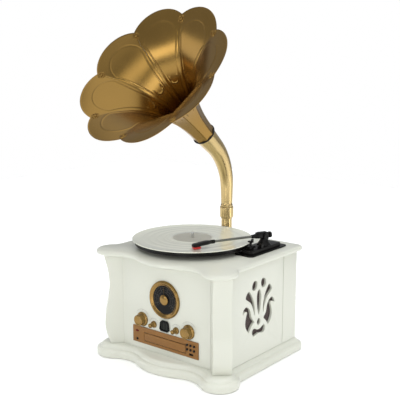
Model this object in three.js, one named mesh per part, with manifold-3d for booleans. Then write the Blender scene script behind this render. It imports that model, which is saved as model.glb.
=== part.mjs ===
// Gramophone-style music centre: a lacquered cabinet with a record deck, radio dial and CD drawer,
// crowned by a swan-neck horn loudspeaker with an eight-petal bell.
//
// Working frame, in millimetres: X to the right, Y to the back, Z up. X = 0 is the cabinet's middle
// plane, Y = 0 is halfway between the faces of its front and back panels, and Z = 0 is the table.
// The last lines move the finished group so that its origin is the bottom centre of its own box.

import * as THREE from 'three';
import { mergeVertices } from 'three/addons/utils/BufferGeometryUtils.js';
import Module from 'manifold-3d';

const wasm = await Module();
wasm.setup();

const RAD = Math.PI / 180;

// ---------------------------------------------------------------------------------------------
// Driving dimensions

const GAP = 0.3; // air between pieces that rest on each other
const PANEL = 12; // board thickness of the cabinet walls

const HALF_WIDTH = 176; // middle plane to the side panels' faces
const HALF_DEPTH = 153.5; // middle to the front and back panels' faces
const FOOT = { radius: 11, height: 2.4, x: 158, front: 140, back: 145 };
const BASE_BOTTOM = 1.2; // the feet are let into the base
const BASE_TOP = 31.2;
const DECK_BOTTOM = 261.5;
const DECK_TOP = 275.5;
const WALL_BOTTOM = BASE_TOP + GAP;
const WALL_TOP = DECK_BOTTOM - GAP;

// Plan outline shared by the base and the deck: bowed front, coves, round ears over the columns
const PLAN = {
  bow: -198, // front of the bow, at the middle
  cove: { x: 98, y: -175 }, // deepest point of each cove
  ear: { x: 168, y: -156, radius: 42 },
  side: 190,
  fillet: 30, // hollow curve between an ear and the straight side
  back: 170,
  corner: 20,
};

const COLUMN = { x: 188, y: -169.9, width: 45, depth: 63, waist: 12.6, foot: 13.3 };
const COLUMN_WAIST_Z = 187;
const COLUMN_BELLY_Z = 84.4;

const GROOVE = { y: 93, width: 1.5 }; // joint line of the rear pilaster on each side panel
const FRET_Y = -12; // upright axis of the pierced palmette
const FRET_Z = 155; // middle of the cloth behind it
const FRET_BOARD = 7; // board left there, where the wall's inside is recessed for the cloth
const CLOTH_HALF = { y: 75, z: 76 };

const DIAL_Z = 173.5;
const DIAL = { bezel: 46.8, opening: 35.6, proud: 6.6, face: 35.2, hub: 13 };
const LARGE_KNOB = { x: 74, z: 109.3, flange: 18, body: 14, length: 17.5 };
const SMALL_KNOB = { x: 35.5, z: 104, flange: 8.6, body: 5.6, length: 16.5 };
const KNOB_SHAFT = 3;
const DISPLAY = { z: 107.5, width: 28, height: 27, corner: 5, proud: 5 };

const CD_PANEL = { width: 209.7, height: 42, z: 68.2, thick: 2 };
const DRAWER = { width: 134, height: 21, z: 65.6, length: 142, tray: 126 };
const BUTTON = { radius: 2.8, columns: [70.5, 81.2, 91.9], rows: [77.6, 66.4] };
const LAMP = { x: -90.5, z: 76.4, width: 9, height: 4 };
const JACK = { x: -90, z: 55.6, radius: 3.2 };
const USB = { x: 83, z: 55.4, width: 12.4, height: 5 };

const TURNTABLE = { x: -23.6, y: -20.2 };
const PLATTER = { radius: 145, bottom: 286, top: 296.4 };
const RECORD = { radius: 151, bottom: 296.7, top: 298.7 };
const SPINDLE_RADIUS = 3.55;

const ARM = { x: 134, y: 66, z: 312, turn: -23.2 * RAD, tube: 3, neck: 139.5 };
const ARM_PLATE = { left: 104, right: 160, front: -22, back: 135, top: 278.8 };
const ARM_BLOCK = { left: 110, right: 153, front: -13, back: 116, top: 288 };
const CUE = { x: 146, y: 34, z: 295 };

const HORN = { x: -43, y: 147.5 }; // axis of the upright post
const POST_RADIUS = 14;
const COLLAR = { bottom: 318, top: 356, radius: 17.9 };
const BEND = { start: 400, radius: 152 }; // height and radius of the swan-neck bend
const THROAT = { y: 47.8, z: 553.1, radius: 27.4 };
const BELL_TILT = 51.2 * RAD; // bell axis, forward from upright
const BELL_ROLL = 1.3 * RAD;
const PETALS = 8;
const PETAL_THICKNESS = 1;
const NOTCH_RADIUS = 180.2; // where neighbouring petals part at the rim
const LOBE_RISE = 34; // rim lobe beyond the line between its two notches

// ---------------------------------------------------------------------------------------------
// Geometry helpers

// A closed mesh with shared corners, no zero-area faces, and its faces pointing out
function closed(geometry) {
  const bare = geometry.index ? geometry.toNonIndexed() : geometry;
  bare.deleteAttribute('normal');
  bare.deleteAttribute('uv');
  const merged = mergeVertices(bare, 1e-4);
  const faces = [];
  for (let i = 0; i < merged.index.count; i += 3) {
    const [a, b, c] = [0, 1, 2].map((k) => merged.index.getX(i + k));
    if (a !== b && b !== c && c !== a) faces.push(a, b, c);
  }
  if (signedVolume(merged.attributes.position, faces) < 0) faces.reverse();
  merged.setIndex(faces);
  return merged;
}

function signedVolume(position, faces) {
  const [a, b, c] = [new THREE.Vector3(), new THREE.Vector3(), new THREE.Vector3()];
  let sum = 0;
  for (let i = 0; i < faces.length; i += 3) {
    a.fromBufferAttribute(position, faces[i]);
    b.fromBufferAttribute(position, faces[i + 1]);
    c.fromBufferAttribute(position, faces[i + 2]);
    sum += a.dot(b.cross(c));
  }
  return sum / 6;
}

function toManifold(geometry) {
  const mesh = closed(geometry);
  const vertProperties = new Float32Array(mesh.attributes.position.array);
  const triVerts = new Uint32Array(mesh.index.array);
  return new wasm.Manifold(new wasm.Mesh({ numProp: 3, vertProperties, triVerts }));
}

function fromManifold(solid) {
  const mesh = solid.getMesh();
  const geometry = new THREE.BufferGeometry();
  geometry.setAttribute('position', new THREE.BufferAttribute(mesh.vertProperties, 3));
  geometry.setIndex(Array.from(mesh.triVerts));
  return geometry;
}

const join = (first, ...others) =>
  fromManifold(others.reduce((solid, other) => solid.add(toManifold(other)), toManifold(first)));

const cut = (first, ...others) =>
  fromManifold(others.reduce((solid, other) => solid.subtract(toManifold(other)), toManifold(first)));

// A box given by its lowest and highest corners
function block([x0, y0, z0], [x1, y1, z1]) {
  const box = new THREE.BoxGeometry(x1 - x0, y1 - y0, z1 - z0);
  return box.translate((x0 + x1) / 2, (y0 + y1) / 2, (z0 + z1) / 2);
}

// A solid of revolution about Z from [radius, height] pairs
function turned(profile, segments = 24) {
  const points = profile.map(([r, h]) => new THREE.Vector2(r, h));
  return new THREE.LatheGeometry(points, segments).rotateX(Math.PI / 2);
}

// A ring or tube: the same, with a profile that closes on itself
const turnedRing = (profile, segments = 24) => turned([...profile, profile[0]], segments);

// Turned on an axis that points out of the front of the cabinet; heights count from the wall face
function turnedFront(profile, x, z, segments = 20) {
  return turned(profile, segments).rotateX(Math.PI / 2).translate(x, -HALF_DEPTH, z);
}

const rod = (radius, bottom, top, segments = 16) =>
  turned([[0, bottom], [radius, bottom], [radius, top], [0, top]], segments);

// An outline drawn in plan, raised from z0 to z1
function raised(shape, z0, z1, curveSegments = 6) {
  const options = { depth: z1 - z0, bevelEnabled: false, curveSegments };
  return new THREE.ExtrudeGeometry(shape, options).translate(0, 0, z0);
}

// An outline drawn in elevation as (x, z), from the plane y0 back to the plane y1
function through(shape, y0, y1, curveSegments = 6) {
  const options = { depth: y1 - y0, bevelEnabled: false, curveSegments };
  return new THREE.ExtrudeGeometry(shape, options).rotateX(Math.PI / 2).translate(0, y1, 0);
}

function polygon(points) {
  return new THREE.Shape(points.map(([x, y]) => new THREE.Vector2(x, y)));
}

function roundedRectangle(x0, y0, x1, y1, radius) {
  const shape = new THREE.Shape();
  shape.absarc(x1 - radius, y0 + radius, radius, -Math.PI / 2, 0);
  shape.absarc(x1 - radius, y1 - radius, radius, 0, Math.PI / 2);
  shape.absarc(x0 + radius, y1 - radius, radius, Math.PI / 2, Math.PI);
  shape.absarc(x0 + radius, y0 + radius, radius, Math.PI, 1.5 * Math.PI);
  return shape;
}

// A skin through rings of equally many points; a loop joins the last ring to the first,
// and an open row of level rings is closed by flat caps
function loft(rings, loop = false) {
  const count = rings[0].length;
  const faces = [];
  const spans = loop ? rings.length : rings.length - 1;
  for (let i = 0; i < spans; i += 1) {
    const near = i * count;
    const far = ((i + 1) % rings.length) * count;
    for (let j = 0; j < count; j += 1) {
      const next = (j + 1) % count;
      faces.push(near + j, near + next, far + next, near + j, far + next, far + j);
    }
  }
  if (!loop) {
    const last = (rings.length - 1) * count;
    for (const [a, b, c] of THREE.ShapeUtils.triangulateShape(rings[0], [])) {
      faces.push(c, b, a, last + a, last + b, last + c);
    }
  }
  const geometry = new THREE.BufferGeometry();
  const numbers = rings.flat().flatMap((p) => [p.x, p.y, p.z]);
  geometry.setAttribute('position', new THREE.Float32BufferAttribute(numbers, 3));
  geometry.setIndex(faces);
  return geometry;
}

// A thin plate whose front and back are both grids of rows by columns of points
function slab(front, back) {
  const rows = front.length;
  const columns = front[0].length;
  const border = [];
  for (let j = 0; j < columns - 1; j += 1) border.push([0, j]);
  for (let i = 0; i < rows - 1; i += 1) border.push([i, columns - 1]);
  for (let j = columns - 1; j > 0; j -= 1) border.push([rows - 1, j]);
  for (let i = rows - 1; i > 0; i -= 1) border.push([i, 0]);
  const id = ([i, j], side) => side * rows * columns + i * columns + j;
  const faces = [];
  const quad = (a, b, c, d) => faces.push(a, b, c, a, c, d);
  for (let i = 0; i < rows - 1; i += 1) {
    for (let j = 0; j < columns - 1; j += 1) {
      const corners = [[i, j], [i, j + 1], [i + 1, j + 1], [i + 1, j]];
      quad(...corners.map((corner) => id(corner, 0)));
      quad(...corners.reverse().map((corner) => id(corner, 1)));
    }
  }
  border.forEach((corner, k) => {
    const next = border[(k + 1) % border.length];
    quad(id(next, 0), id(corner, 0), id(corner, 1), id(next, 1));
  });
  const geometry = new THREE.BufferGeometry();
  const numbers = [...front.flat(), ...back.flat()].flatMap((p) => [p.x, p.y, p.z]);
  geometry.setAttribute('position', new THREE.Float32BufferAttribute(numbers, 3));
  geometry.setIndex(faces);
  return geometry;
}

// ---------------------------------------------------------------------------------------------
// Materials and the scene graph

const paint = (color, roughness, metalness = 0) => ({ color, roughness, metalness });
const WHITE_LACQUER = paint(0xe9e9e0, 0.35);
const SATIN_BRASS = paint(0xb08a45, 0.35, 1);
const GOLD_PLASTIC = paint(0xb9853f, 0.35, 0.6);
const COPPER_PANEL = paint(0xa9743c, 0.4, 0.7);
const BLACK_PLASTIC = paint(0x15140f, 0.45);
const BLACK_GLOSS = paint(0x0b0b0b, 0.15);
const RED_PLASTIC = paint(0xc81f1f, 0.35);
const DARK_RED = paint(0x3a0a0a, 0.3);
const GREY_METAL = paint(0x8c8d86, 0.35, 0.9);
const STEEL = paint(0xb8b8b8, 0.25, 1);
const VINYL_WHITE = paint(0xe4e2d6, 0.2);
const RUBBER = paint(0x1a1a1a, 0.9);
const CLOTH = paint(0x2c1512, 0.95);
const CIRCUIT_GREEN = paint(0x1f5a34, 0.6);

const assembly = new THREE.Group();

function add(name, geometry, look, parent = assembly) {
  const mesh = new THREE.Mesh(closed(geometry), new THREE.MeshStandardMaterial(look));
  mesh.name = name;
  parent.add(mesh);
  return mesh;
}

// ---------------------------------------------------------------------------------------------
// Base and deck: one outline of tangent arcs, drawn smaller or larger to make the mouldings

function arc(cx, cy, radius, from, to, steps) {
  return Array.from({ length: steps + 1 }, (_, i) => {
    const angle = from + ((to - from) * i) / steps;
    return new THREE.Vector2(cx + radius * Math.cos(angle), cy + radius * Math.sin(angle));
  });
}

// The two radii that make bow, cove and ear run into each other without a corner
function planArcs() {
  const { bow, cove, ear } = PLAN;
  const across = ear.x - cove.x;
  const rise = ear.y - cove.y;
  const coveRadius = (across ** 2 + rise ** 2 - ear.radius ** 2) / (2 * (ear.radius - rise));
  const coveY = cove.y - coveRadius;
  const drop = bow - coveY;
  const bowRadius = (cove.x ** 2 + drop ** 2 - coveRadius ** 2) / (2 * (coveRadius - drop));
  return { coveRadius, coveY, bowRadius, bowY: bow + bowRadius };
}

function planOutline(inset) {
  const { cove, ear, side, fillet, back, corner } = PLAN;
  const { coveRadius, coveY, bowRadius, bowY } = planArcs();
  const bowEnd = Math.atan2(coveY - bowY, cove.x);
  const coveEnd = Math.atan2(ear.y - coveY, ear.x - cove.x);
  const filletX = side + fillet;
  const filletRise = Math.sqrt((ear.radius + fillet) ** 2 - (filletX - ear.x) ** 2);
  const earEnd = Math.atan2(filletRise, filletX - ear.x);
  const right = [
    ...arc(0, bowY, bowRadius - inset, -Math.PI / 2, bowEnd, 4),
    ...arc(cove.x, coveY, coveRadius + inset, bowEnd + Math.PI, coveEnd, 4).slice(1),
    ...arc(ear.x, ear.y, ear.radius - inset, coveEnd - Math.PI, earEnd, 10).slice(1),
    ...arc(filletX, ear.y + filletRise, fillet + inset, earEnd + Math.PI, Math.PI, 3).slice(1),
    ...arc(side - corner, back - corner, corner - inset, 0, Math.PI / 2, 3),
  ];
  const left = right.slice(1).reverse().map((p) => new THREE.Vector2(-p.x, p.y));
  return [...right, ...left];
}

// Steps are [height, inset from the outline]
function mouldedBoard(steps) {
  return loft(steps.map(([z, inset]) => planOutline(inset).map((p) => new THREE.Vector3(p.x, p.y, z))));
}

const PLINTH = 4; // how far the base stands out beyond the deck
const baseBoard = mouldedBoard([
  [BASE_BOTTOM, 2], [3.5, 0], [15, 0], [19, 2], [21.5, 6], [22.5, 9], [27, 12], [BASE_TOP, 18],
].map(([z, inset]) => [z, inset - PLINTH]));
const FEET = [['left', -1], ['right', 1]].flatMap(([across, sx]) => [
  { name: `foot_front_${across}`, x: sx * FOOT.x, y: -FOOT.front },
  { name: `foot_back_${across}`, x: sx * FOOT.x, y: FOOT.back },
]);
const footRecess = ({ x, y }) => rod(FOOT.radius + GAP, 0, FOOT.height + GAP).translate(x, y, 0);
add('base_board', cut(baseBoard, ...FEET.map(footRecess)), WHITE_LACQUER);

const deckBoard = mouldedBoard([
  [DECK_BOTTOM, 9], [263, 7], [264.3, 2.5], [266, 0.6], [269.5, 0], [273, 1.2], [DECK_TOP, 5],
]);
const MOTOR = { x: -100, y: 70 };
add('deck_board', cut(
  deckBoard,
  rod(6, DECK_BOTTOM - 1, DECK_TOP + 1).translate(TURNTABLE.x, TURNTABLE.y, 0),
  rod(POST_RADIUS + 1, DECK_BOTTOM - 1, DECK_TOP + 1).translate(HORN.x, HORN.y, 0),
  rod(8, DECK_BOTTOM - 1, DECK_TOP + 1).translate(MOTOR.x, MOTOR.y, 0),
), WHITE_LACQUER);

for (const { name, x, y } of FEET) {
  add(name, rod(FOOT.radius, 0, FOOT.height).translate(x, y, 0), RUBBER);
}

// ---------------------------------------------------------------------------------------------
// Corner columns: planks set across the front corners, with an S-curved outer face

// How far the outer face lies inside its two proudest points, at the top and at the belly
function columnHollow(z) {
  if (z >= COLUMN_WAIST_Z) {
    return COLUMN.waist * Math.cos((Math.PI / 2) * ((z - COLUMN_WAIST_Z) / (WALL_TOP - COLUMN_WAIST_Z)));
  }
  if (z >= COLUMN_BELLY_Z) {
    const along = (z - COLUMN_BELLY_Z) / (COLUMN_WAIST_Z - COLUMN_BELLY_Z);
    return (COLUMN.waist * (1 - Math.cos(Math.PI * along))) / 2;
  }
  const down = (COLUMN_BELLY_Z - z) / (COLUMN_BELLY_Z - WALL_BOTTOM);
  return COLUMN.foot * (1 - Math.cos((Math.PI / 2) * down));
}

function columnGeometry() {
  const steps = 20;
  const face = Array.from({ length: steps + 1 }, (_, i) => {
    const z = WALL_BOTTOM + ((WALL_TOP - WALL_BOTTOM) * i) / steps;
    return [-columnHollow(z), z];
  });
  const outline = polygon([[-COLUMN.depth, WALL_BOTTOM], ...face, [-COLUMN.depth, WALL_TOP]]);
  return through(outline, -COLUMN.width / 2, COLUMN.width / 2);
}

for (const [name, sx, turn] of [['front_column_left', -1, -135], ['front_column_right', 1, -45]]) {
  const column = add(name, columnGeometry(), WHITE_LACQUER);
  column.position.set(sx * COLUMN.x, COLUMN.y, 0);
  column.rotation.z = turn * RAD;
}

// ---------------------------------------------------------------------------------------------
// Walls

// The column's side plane, where a panel's mitred end meets it: |x| + |y| or |x| - |y| is constant
const COLUMN_SIDE = (COLUMN.width / 2 + GAP) * Math.SQRT2;
const FRONT_END = HALF_DEPTH + COLUMN.x + COLUMN.y - COLUMN_SIDE;
const SIDE_END = COLUMN.x + COLUMN.y + COLUMN_SIDE - HALF_WIDTH;

function frontPanel() {
  const outer = FRONT_END;
  const inner = outer - PANEL;
  const front = -HALF_DEPTH;
  const plan = polygon([[-outer, front], [outer, front], [inner, front + PANEL], [-inner, front + PANEL]]);
  const deep = [front - 1, front + PANEL + 1];
  const hole = (radius, x, z) => through(new THREE.Shape().absarc(x, z, radius, 0, 2 * Math.PI), ...deep, 6);
  const opening = (x, z, width, height) =>
    block([x - width / 2, deep[0], z - height / 2], [x + width / 2, deep[1], z + height / 2]);
  return cut(
    raised(plan, WALL_BOTTOM, WALL_TOP),
    hole(3, 0, DIAL_Z),
    ...[LARGE_KNOB, SMALL_KNOB].flatMap(({ x, z }) => [-x, x].map((at) => hole(KNOB_SHAFT + 0.6, at, z))),
    opening(0, DRAWER.z, DRAWER.width + 3, DRAWER.height + 2),
    ...BUTTON.columns.flatMap((x) => BUTTON.rows.map((z) => hole(2.3, x, z))),
    opening(USB.x, USB.z, USB.width, USB.height),
    hole(2.6, JACK.x, JACK.z),
  );
}
add('front_panel', frontPanel(), WHITE_LACQUER);

// One pierced shape of the palmette, drawn about the upright axis as points and curve handles
function pierced(start, curves, mirror = 1) {
  const shape = new THREE.Shape();
  shape.moveTo(mirror * start[0], start[1]);
  for (const [ax, ay, bx, by, x, y] of curves) {
    shape.bezierCurveTo(mirror * ax, ay, mirror * bx, by, mirror * x, y);
  }
  return shape;
}

function palmette() {
  const teardrop = [
    [0, 136],
    [[5, 142, 9, 165, 9, 180], [9, 192, 5, 199, 0, 199], [-5, 199, -9, 192, -9, 180], [-9, 165, -5, 142, 0, 136]],
  ];
  const bud = [[17, 201], [[27, 201, 31, 208, 28, 216], [25, 223, 17, 227, 11, 222], [5, 217, 7, 204, 17, 201]]];
  const leaf = [
    [18, 137.5],
    [[24, 150, 24, 168, 40, 178], [47, 183, 54, 186, 55, 190], [54, 196, 48, 202, 42, 204],
      [32, 198, 11, 165, 18, 137.5]],
  ];
  const scroll = [
    [53, 168],
    [[61, 167, 67, 160, 66, 151], [61, 157, 53, 159, 49, 155], [49, 150, 56, 140, 56, 127],
      [56, 116, 48, 107, 40, 101], [35, 108, 29, 118, 20, 122], [20, 128, 28, 130, 31, 138],
      [33, 147, 35, 164, 53, 168]],
  ];
  const seed = [[0, 110.5], [[9, 112, 10, 125, 0, 127.5], [-10, 125, -9, 112, 0, 110.5]]];
  const sepal = [
    [0, 100],
    [[9, 99, 15, 107, 22, 105.5], [29, 103, 29, 94, 24, 89.5], [18, 84, 10, 90, 0, 90.5],
      [-10, 90, -18, 84, -24, 89.5], [-29, 94, -29, 103, -22, 105.5], [-15, 107, -9, 99, 0, 100]],
  ];
  const pairs = [bud, leaf, scroll].flatMap(([start, curves]) => [
    pierced(start, curves),
    pierced(start, curves, -1),
  ]);
  return [...[teardrop, seed, sepal].map(([start, curves]) => pierced(start, curves)), ...pairs];
}

// Drawn as (y, z) and pushed out along X to the right wall; the left wall is its mirror image
function sidePanel(sx) {
  const [inner, outer] = [HALF_WIDTH - PANEL, HALF_WIDTH];
  const plan = polygon([
    [sx * outer, SIDE_END], [sx * outer, HALF_DEPTH], [sx * inner, HALF_DEPTH], [sx * inner, SIDE_END + PANEL],
  ]);
  const alongX = (shape) => through(shape, -outer - 1, -inner + 1, 4).rotateZ(Math.PI / 2);
  const piercings = palmette().map((shape) => alongX(shape).translate(0, FRET_Y, 0));
  const half = GROOVE.width / 2;
  const groove = block([outer - GROOVE.width, GROOVE.y - half, 0], [outer + 1, GROOVE.y + half, DECK_TOP]);
  const recess = block(
    [inner - 1, FRET_Y - CLOTH_HALF.y - 1, FRET_Z - CLOTH_HALF.z - 1],
    [outer - FRET_BOARD, FRET_Y + CLOTH_HALF.y + 1, FRET_Z + CLOTH_HALF.z + 1],
  );
  const tools = [...piercings, groove, recess].map((tool) => (sx > 0 ? tool : tool.rotateZ(Math.PI).scale(1, -1, 1)));
  return cut(raised(plan, WALL_BOTTOM, WALL_TOP), ...tools);
}
add('side_panel_left', sidePanel(-1), WHITE_LACQUER);
add('side_panel_right', sidePanel(1), WHITE_LACQUER);

const SOCKETS = { x: 95, z: 72, width: 84, height: 40 };
const VENT = { half: 35, height: 5, bottom: 150, pitch: 14 };
function backPanel() {
  const edge = HALF_WIDTH - PANEL - GAP;
  const [inner, outer] = [HALF_DEPTH - PANEL, HALF_DEPTH];
  const vents = Array.from({ length: 6 }, (_, i) => {
    const z = VENT.bottom + VENT.pitch * i;
    return block([-VENT.half, inner - 1, z], [VENT.half, outer + 1, z + VENT.height]);
  });
  const window = block(
    [SOCKETS.x - SOCKETS.width / 2 + 6, inner - 1, SOCKETS.z - SOCKETS.height / 2 + 6],
    [SOCKETS.x + SOCKETS.width / 2 - 6, outer + 1, SOCKETS.z + SOCKETS.height / 2 - 6],
  );
  return cut(block([-edge, inner, WALL_BOTTOM], [edge, outer, WALL_TOP]), window, ...vents);
}
add('back_panel', backPanel(), WHITE_LACQUER);

// Black plate with the mains inlet's well and two round line-output sockets
const INLET = { x: SOCKETS.x + 20, width: 18, height: 9, depth: 14 };
function socketPlate() {
  const back = HALF_DEPTH + GAP;
  const [left, right] = [SOCKETS.x - SOCKETS.width / 2, SOCKETS.x + SOCKETS.width / 2];
  const [low, high] = [SOCKETS.z - SOCKETS.height / 2, SOCKETS.z + SOCKETS.height / 2];
  const plate = block([left, back, low], [right, back + 2, high]);
  const well = (grow, from, to) => block(
    [INLET.x - INLET.width / 2 - grow, from, SOCKETS.z - INLET.height / 2 - grow],
    [INLET.x + INLET.width / 2 + grow, to, SOCKETS.z + INLET.height / 2 + grow],
  );
  const socket = (x) => rod(4.2, -10, 0, 12).rotateX(Math.PI / 2).translate(x, back + 1, SOCKETS.z);
  const body = join(plate, well(1.5, back - INLET.depth, back + 1), socket(left + 16), socket(left + 32));
  return cut(body, well(0, back - INLET.depth + 2, back + 3));
}
add('socket_plate', socketPlate(), BLACK_PLASTIC);

// ---------------------------------------------------------------------------------------------
// Side loudspeakers behind cloth

for (const [side, sx] of [['left', -1], ['right', 1]]) {
  const wall = HALF_WIDTH - FRET_BOARD - GAP;
  const xs = [sx * wall, sx * (wall - 1)].sort((a, b) => a - b);
  add(`grille_cloth_${side}`, block(
    [xs[0], FRET_Y - CLOTH_HALF.y, FRET_Z - CLOTH_HALF.z],
    [xs[1], FRET_Y + CLOTH_HALF.y, FRET_Z + CLOTH_HALF.z],
  ), CLOTH);
  const driver = turned([
    [0, 0], [24, 0], [24, 18], [28, 18], [50, 38], [57, 38], [57, 41], [47, 41], [14, 24], [0, 26],
  ], 16);
  const speaker = add(`speaker_${side}`, driver, BLACK_PLASTIC);
  speaker.rotation.y = (sx * Math.PI) / 2;
  speaker.position.set(sx * (wall - 1 - GAP - 41), FRET_Y, FRET_Z);
}

// ---------------------------------------------------------------------------------------------
// Radio dial, knobs and display

const dialBezel = turnedRing([
  [DIAL.opening, GAP], [DIAL.bezel, GAP], [DIAL.bezel, 3.6], [45, DIAL.proud - 0.6], [42.6, DIAL.proud],
  [40, DIAL.proud - 1.4], [DIAL.opening, 2.6],
], 32);
add('dial_bezel', dialBezel.rotateX(Math.PI / 2).translate(0, -HALF_DEPTH, DIAL_Z), GOLD_PLASTIC);

const dialFace = turnedRing([[2.6, GAP], [DIAL.face, GAP], [DIAL.face, 2.3], [2.6, 2.3]], 32);
add('dial_face', dialFace.rotateX(Math.PI / 2).translate(0, -HALF_DEPTH, DIAL_Z), BLACK_GLOSS);

// Gold hub and the hand beneath it turn together on one shaft
function dialPointer() {
  const hub = turnedFront([
    [0, -15], [2.2, -15], [2.2, 3.6], [DIAL.hub, 3.6], [DIAL.hub, 5.4], [11, 6.8], [6, 7.8], [0, 8.2],
  ], 0, DIAL_Z);
  const hand = block([-0.9, -HALF_DEPTH - 4.4, DIAL_Z + 8], [0.9, -HALF_DEPTH - 3.4, DIAL_Z + 33]);
  return join(hub, hand);
}
add('dial_pointer', dialPointer(), GOLD_PLASTIC);

// Domed flange, waisted body and dished front, with a shaft through the wall
function knob({ flange, body, length, z }, x, segments) {
  return turnedFront([
    [0, -16], [KNOB_SHAFT, -16], [KNOB_SHAFT, GAP], [flange, GAP], [flange, 1.6], [flange * 0.93, 3.2],
    [body, 4.6], [body, length - 1.5], [body - 1.5, length], [body - 3, length], [0, length - 1],
  ], x, z, segments);
}
add('volume_knob', knob(LARGE_KNOB, -LARGE_KNOB.x, 18), GOLD_PLASTIC);
add('function_knob', knob(SMALL_KNOB, -SMALL_KNOB.x, 12), GOLD_PLASTIC);
add('tone_knob', knob(SMALL_KNOB, SMALL_KNOB.x, 12), GOLD_PLASTIC);
add('tuning_knob', knob(LARGE_KNOB, LARGE_KNOB.x, 18), GOLD_PLASTIC);

function displayWindow() {
  const { z, width, height, corner, proud } = DISPLAY;
  const [w, h] = [width / 2, height / 2];
  const outline = polygon([
    [-w, z - h + corner], [-w + corner, z - h], [w - corner, z - h], [w, z - h + corner],
    [w - 1, z + h - corner], [w - corner, z + h], [-w + corner, z + h], [-w + 1, z + h - corner],
  ]);
  return through(outline, -HALF_DEPTH - proud, -HALF_DEPTH - GAP);
}
add('display_window', displayWindow(), BLACK_GLOSS);

// ---------------------------------------------------------------------------------------------
// CD panel, drawer, buttons and sockets

const PANEL_BACK = -HALF_DEPTH - GAP;
const PANEL_FACE = PANEL_BACK - CD_PANEL.thick;
function cdPanel() {
  const { width, height, z } = CD_PANEL;
  const deep = [PANEL_FACE - 1, PANEL_BACK + 1];
  const opening = ({ x, z: at, width: w, height: h }, grow) =>
    block([x - w / 2 - grow, deep[0], at - h / 2 - grow], [x + w / 2 + grow, deep[1], at + h / 2 + grow]);
  const hole = (radius, x, at) => through(new THREE.Shape().absarc(x, at, radius, 0, 2 * Math.PI), ...deep, 6);
  return cut(
    block([-width / 2, PANEL_FACE, z - height / 2], [width / 2, PANEL_BACK, z + height / 2]),
    opening({ ...DRAWER, x: 0 }, 0.5),
    opening(LAMP, GAP),
    opening(USB, 0),
    ...BUTTON.columns.flatMap((x) => BUTTON.rows.map((row) => hole(BUTTON.radius + GAP, x, row))),
    hole(JACK.radius + GAP, JACK.x, JACK.z),
  );
}
add('cd_panel', cdPanel(), COPPER_PANEL);

// Drawer front and tray in one, with the round well for a 120 mm disc and a finger gap in its floor
const TRAY_FLOOR = DRAWER.z - 7;
const DISC_WELL = { radius: 61, z: TRAY_FLOOR + 4.5, y: PANEL_FACE + 72 };
function cdDrawer() {
  const front = PANEL_FACE - 0.5;
  const [low, high] = [DRAWER.z - DRAWER.height / 2, DRAWER.z + DRAWER.height / 2];
  const face = block([-DRAWER.width / 2, front, low], [DRAWER.width / 2, front + 3, high]);
  const half = DRAWER.tray / 2;
  const tray = block([-half, front + 2, TRAY_FLOOR], [half, front + DRAWER.length, DISC_WELL.z + 3.5]);
  const well = rod(DISC_WELL.radius, DISC_WELL.z, DISC_WELL.z + 10, 32).translate(0, DISC_WELL.y, 0);
  const slot = block([-10, DISC_WELL.y, low - 1], [10, DISC_WELL.y + 55, high]);
  return cut(join(face, tray), well, slot);
}
add('cd_drawer', cdDrawer(), COPPER_PANEL);

// Folded steel channel round the tray, standing on two blocks
function cdMechanism() {
  const half = DRAWER.tray / 2 + 1;
  const [front, back] = [-HALF_DEPTH + PANEL + 2, 5];
  const [low, high] = [TRAY_FLOOR - 3, DRAWER.z + 9];
  const channel = polygon([
    [-half - 3, low], [half + 3, low], [half + 3, high], [half, high],
    [half, low + 2], [-half, low + 2], [-half, high], [-half - 3, high],
  ]);
  const foot = (y) => block([-40, y, WALL_BOTTOM], [40, y + 12, low + 1]);
  return join(through(channel, front, back), foot(front + 10), foot(back - 30));
}
add('cd_mechanism', cdMechanism(), STEEL);

BUTTON.rows.forEach((z, row) => {
  BUTTON.columns.forEach((x, column) => {
    const button = turnedFront([
      [0, -14], [1.8, -14], [1.8, 1.5], [BUTTON.radius, 1.5], [BUTTON.radius, 3.8], [2.1, 4.4], [0, 4.4],
    ], x, z, 12);
    add(`button_${row * BUTTON.columns.length + column + 1}`, button, BLACK_PLASTIC);
  });
});

add('power_lamp', block(
  [LAMP.x - LAMP.width / 2, PANEL_FACE - 0.4, LAMP.z - LAMP.height / 2],
  [LAMP.x + LAMP.width / 2, PANEL_BACK, LAMP.z + LAMP.height / 2],
), DARK_RED);

const jackBush = turnedRing([[1.75, -10], [2.3, -10], [2.3, GAP], [JACK.radius, GAP], [JACK.radius, 3], [1.75, 3]], 16);
add('headphone_jack', jackBush.rotateX(Math.PI / 2).translate(JACK.x, -HALF_DEPTH, JACK.z), BLACK_PLASTIC);

// ---------------------------------------------------------------------------------------------
// Inside the cabinet

function circuitBoard() {
  const top = WALL_BOTTOM + 12;
  const card = block([-140, 25, top - 2], [-10, 120, top]);
  const heatSink = block([-130, 100, top - 1], [-60, 112, top + 40]);
  const capacitor = (x) => rod(9, top - 1, top + 26, 12).translate(x, 60, 0);
  const pillars = [-130, -20].flatMap((x) => [32, 112].map((y) => rod(3, WALL_BOTTOM, top - 1, 8).translate(x, y, 0)));
  return join(card, heatSink, capacitor(-40), capacitor(-65), ...pillars);
}
add('circuit_board', circuitBoard(), CIRCUIT_GREEN);

function transformer() {
  const core = block([60, 60, WALL_BOTTOM + 4], [120, 110, WALL_BOTTOM + 54]);
  const winding = block([68, 52, WALL_BOTTOM + 14], [112, 118, WALL_BOTTOM + 44]);
  const strap = block([52, 66, WALL_BOTTOM], [128, 104, WALL_BOTTOM + 6]);
  return join(core, winding, strap);
}
add('transformer', transformer(), GREY_METAL);

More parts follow.
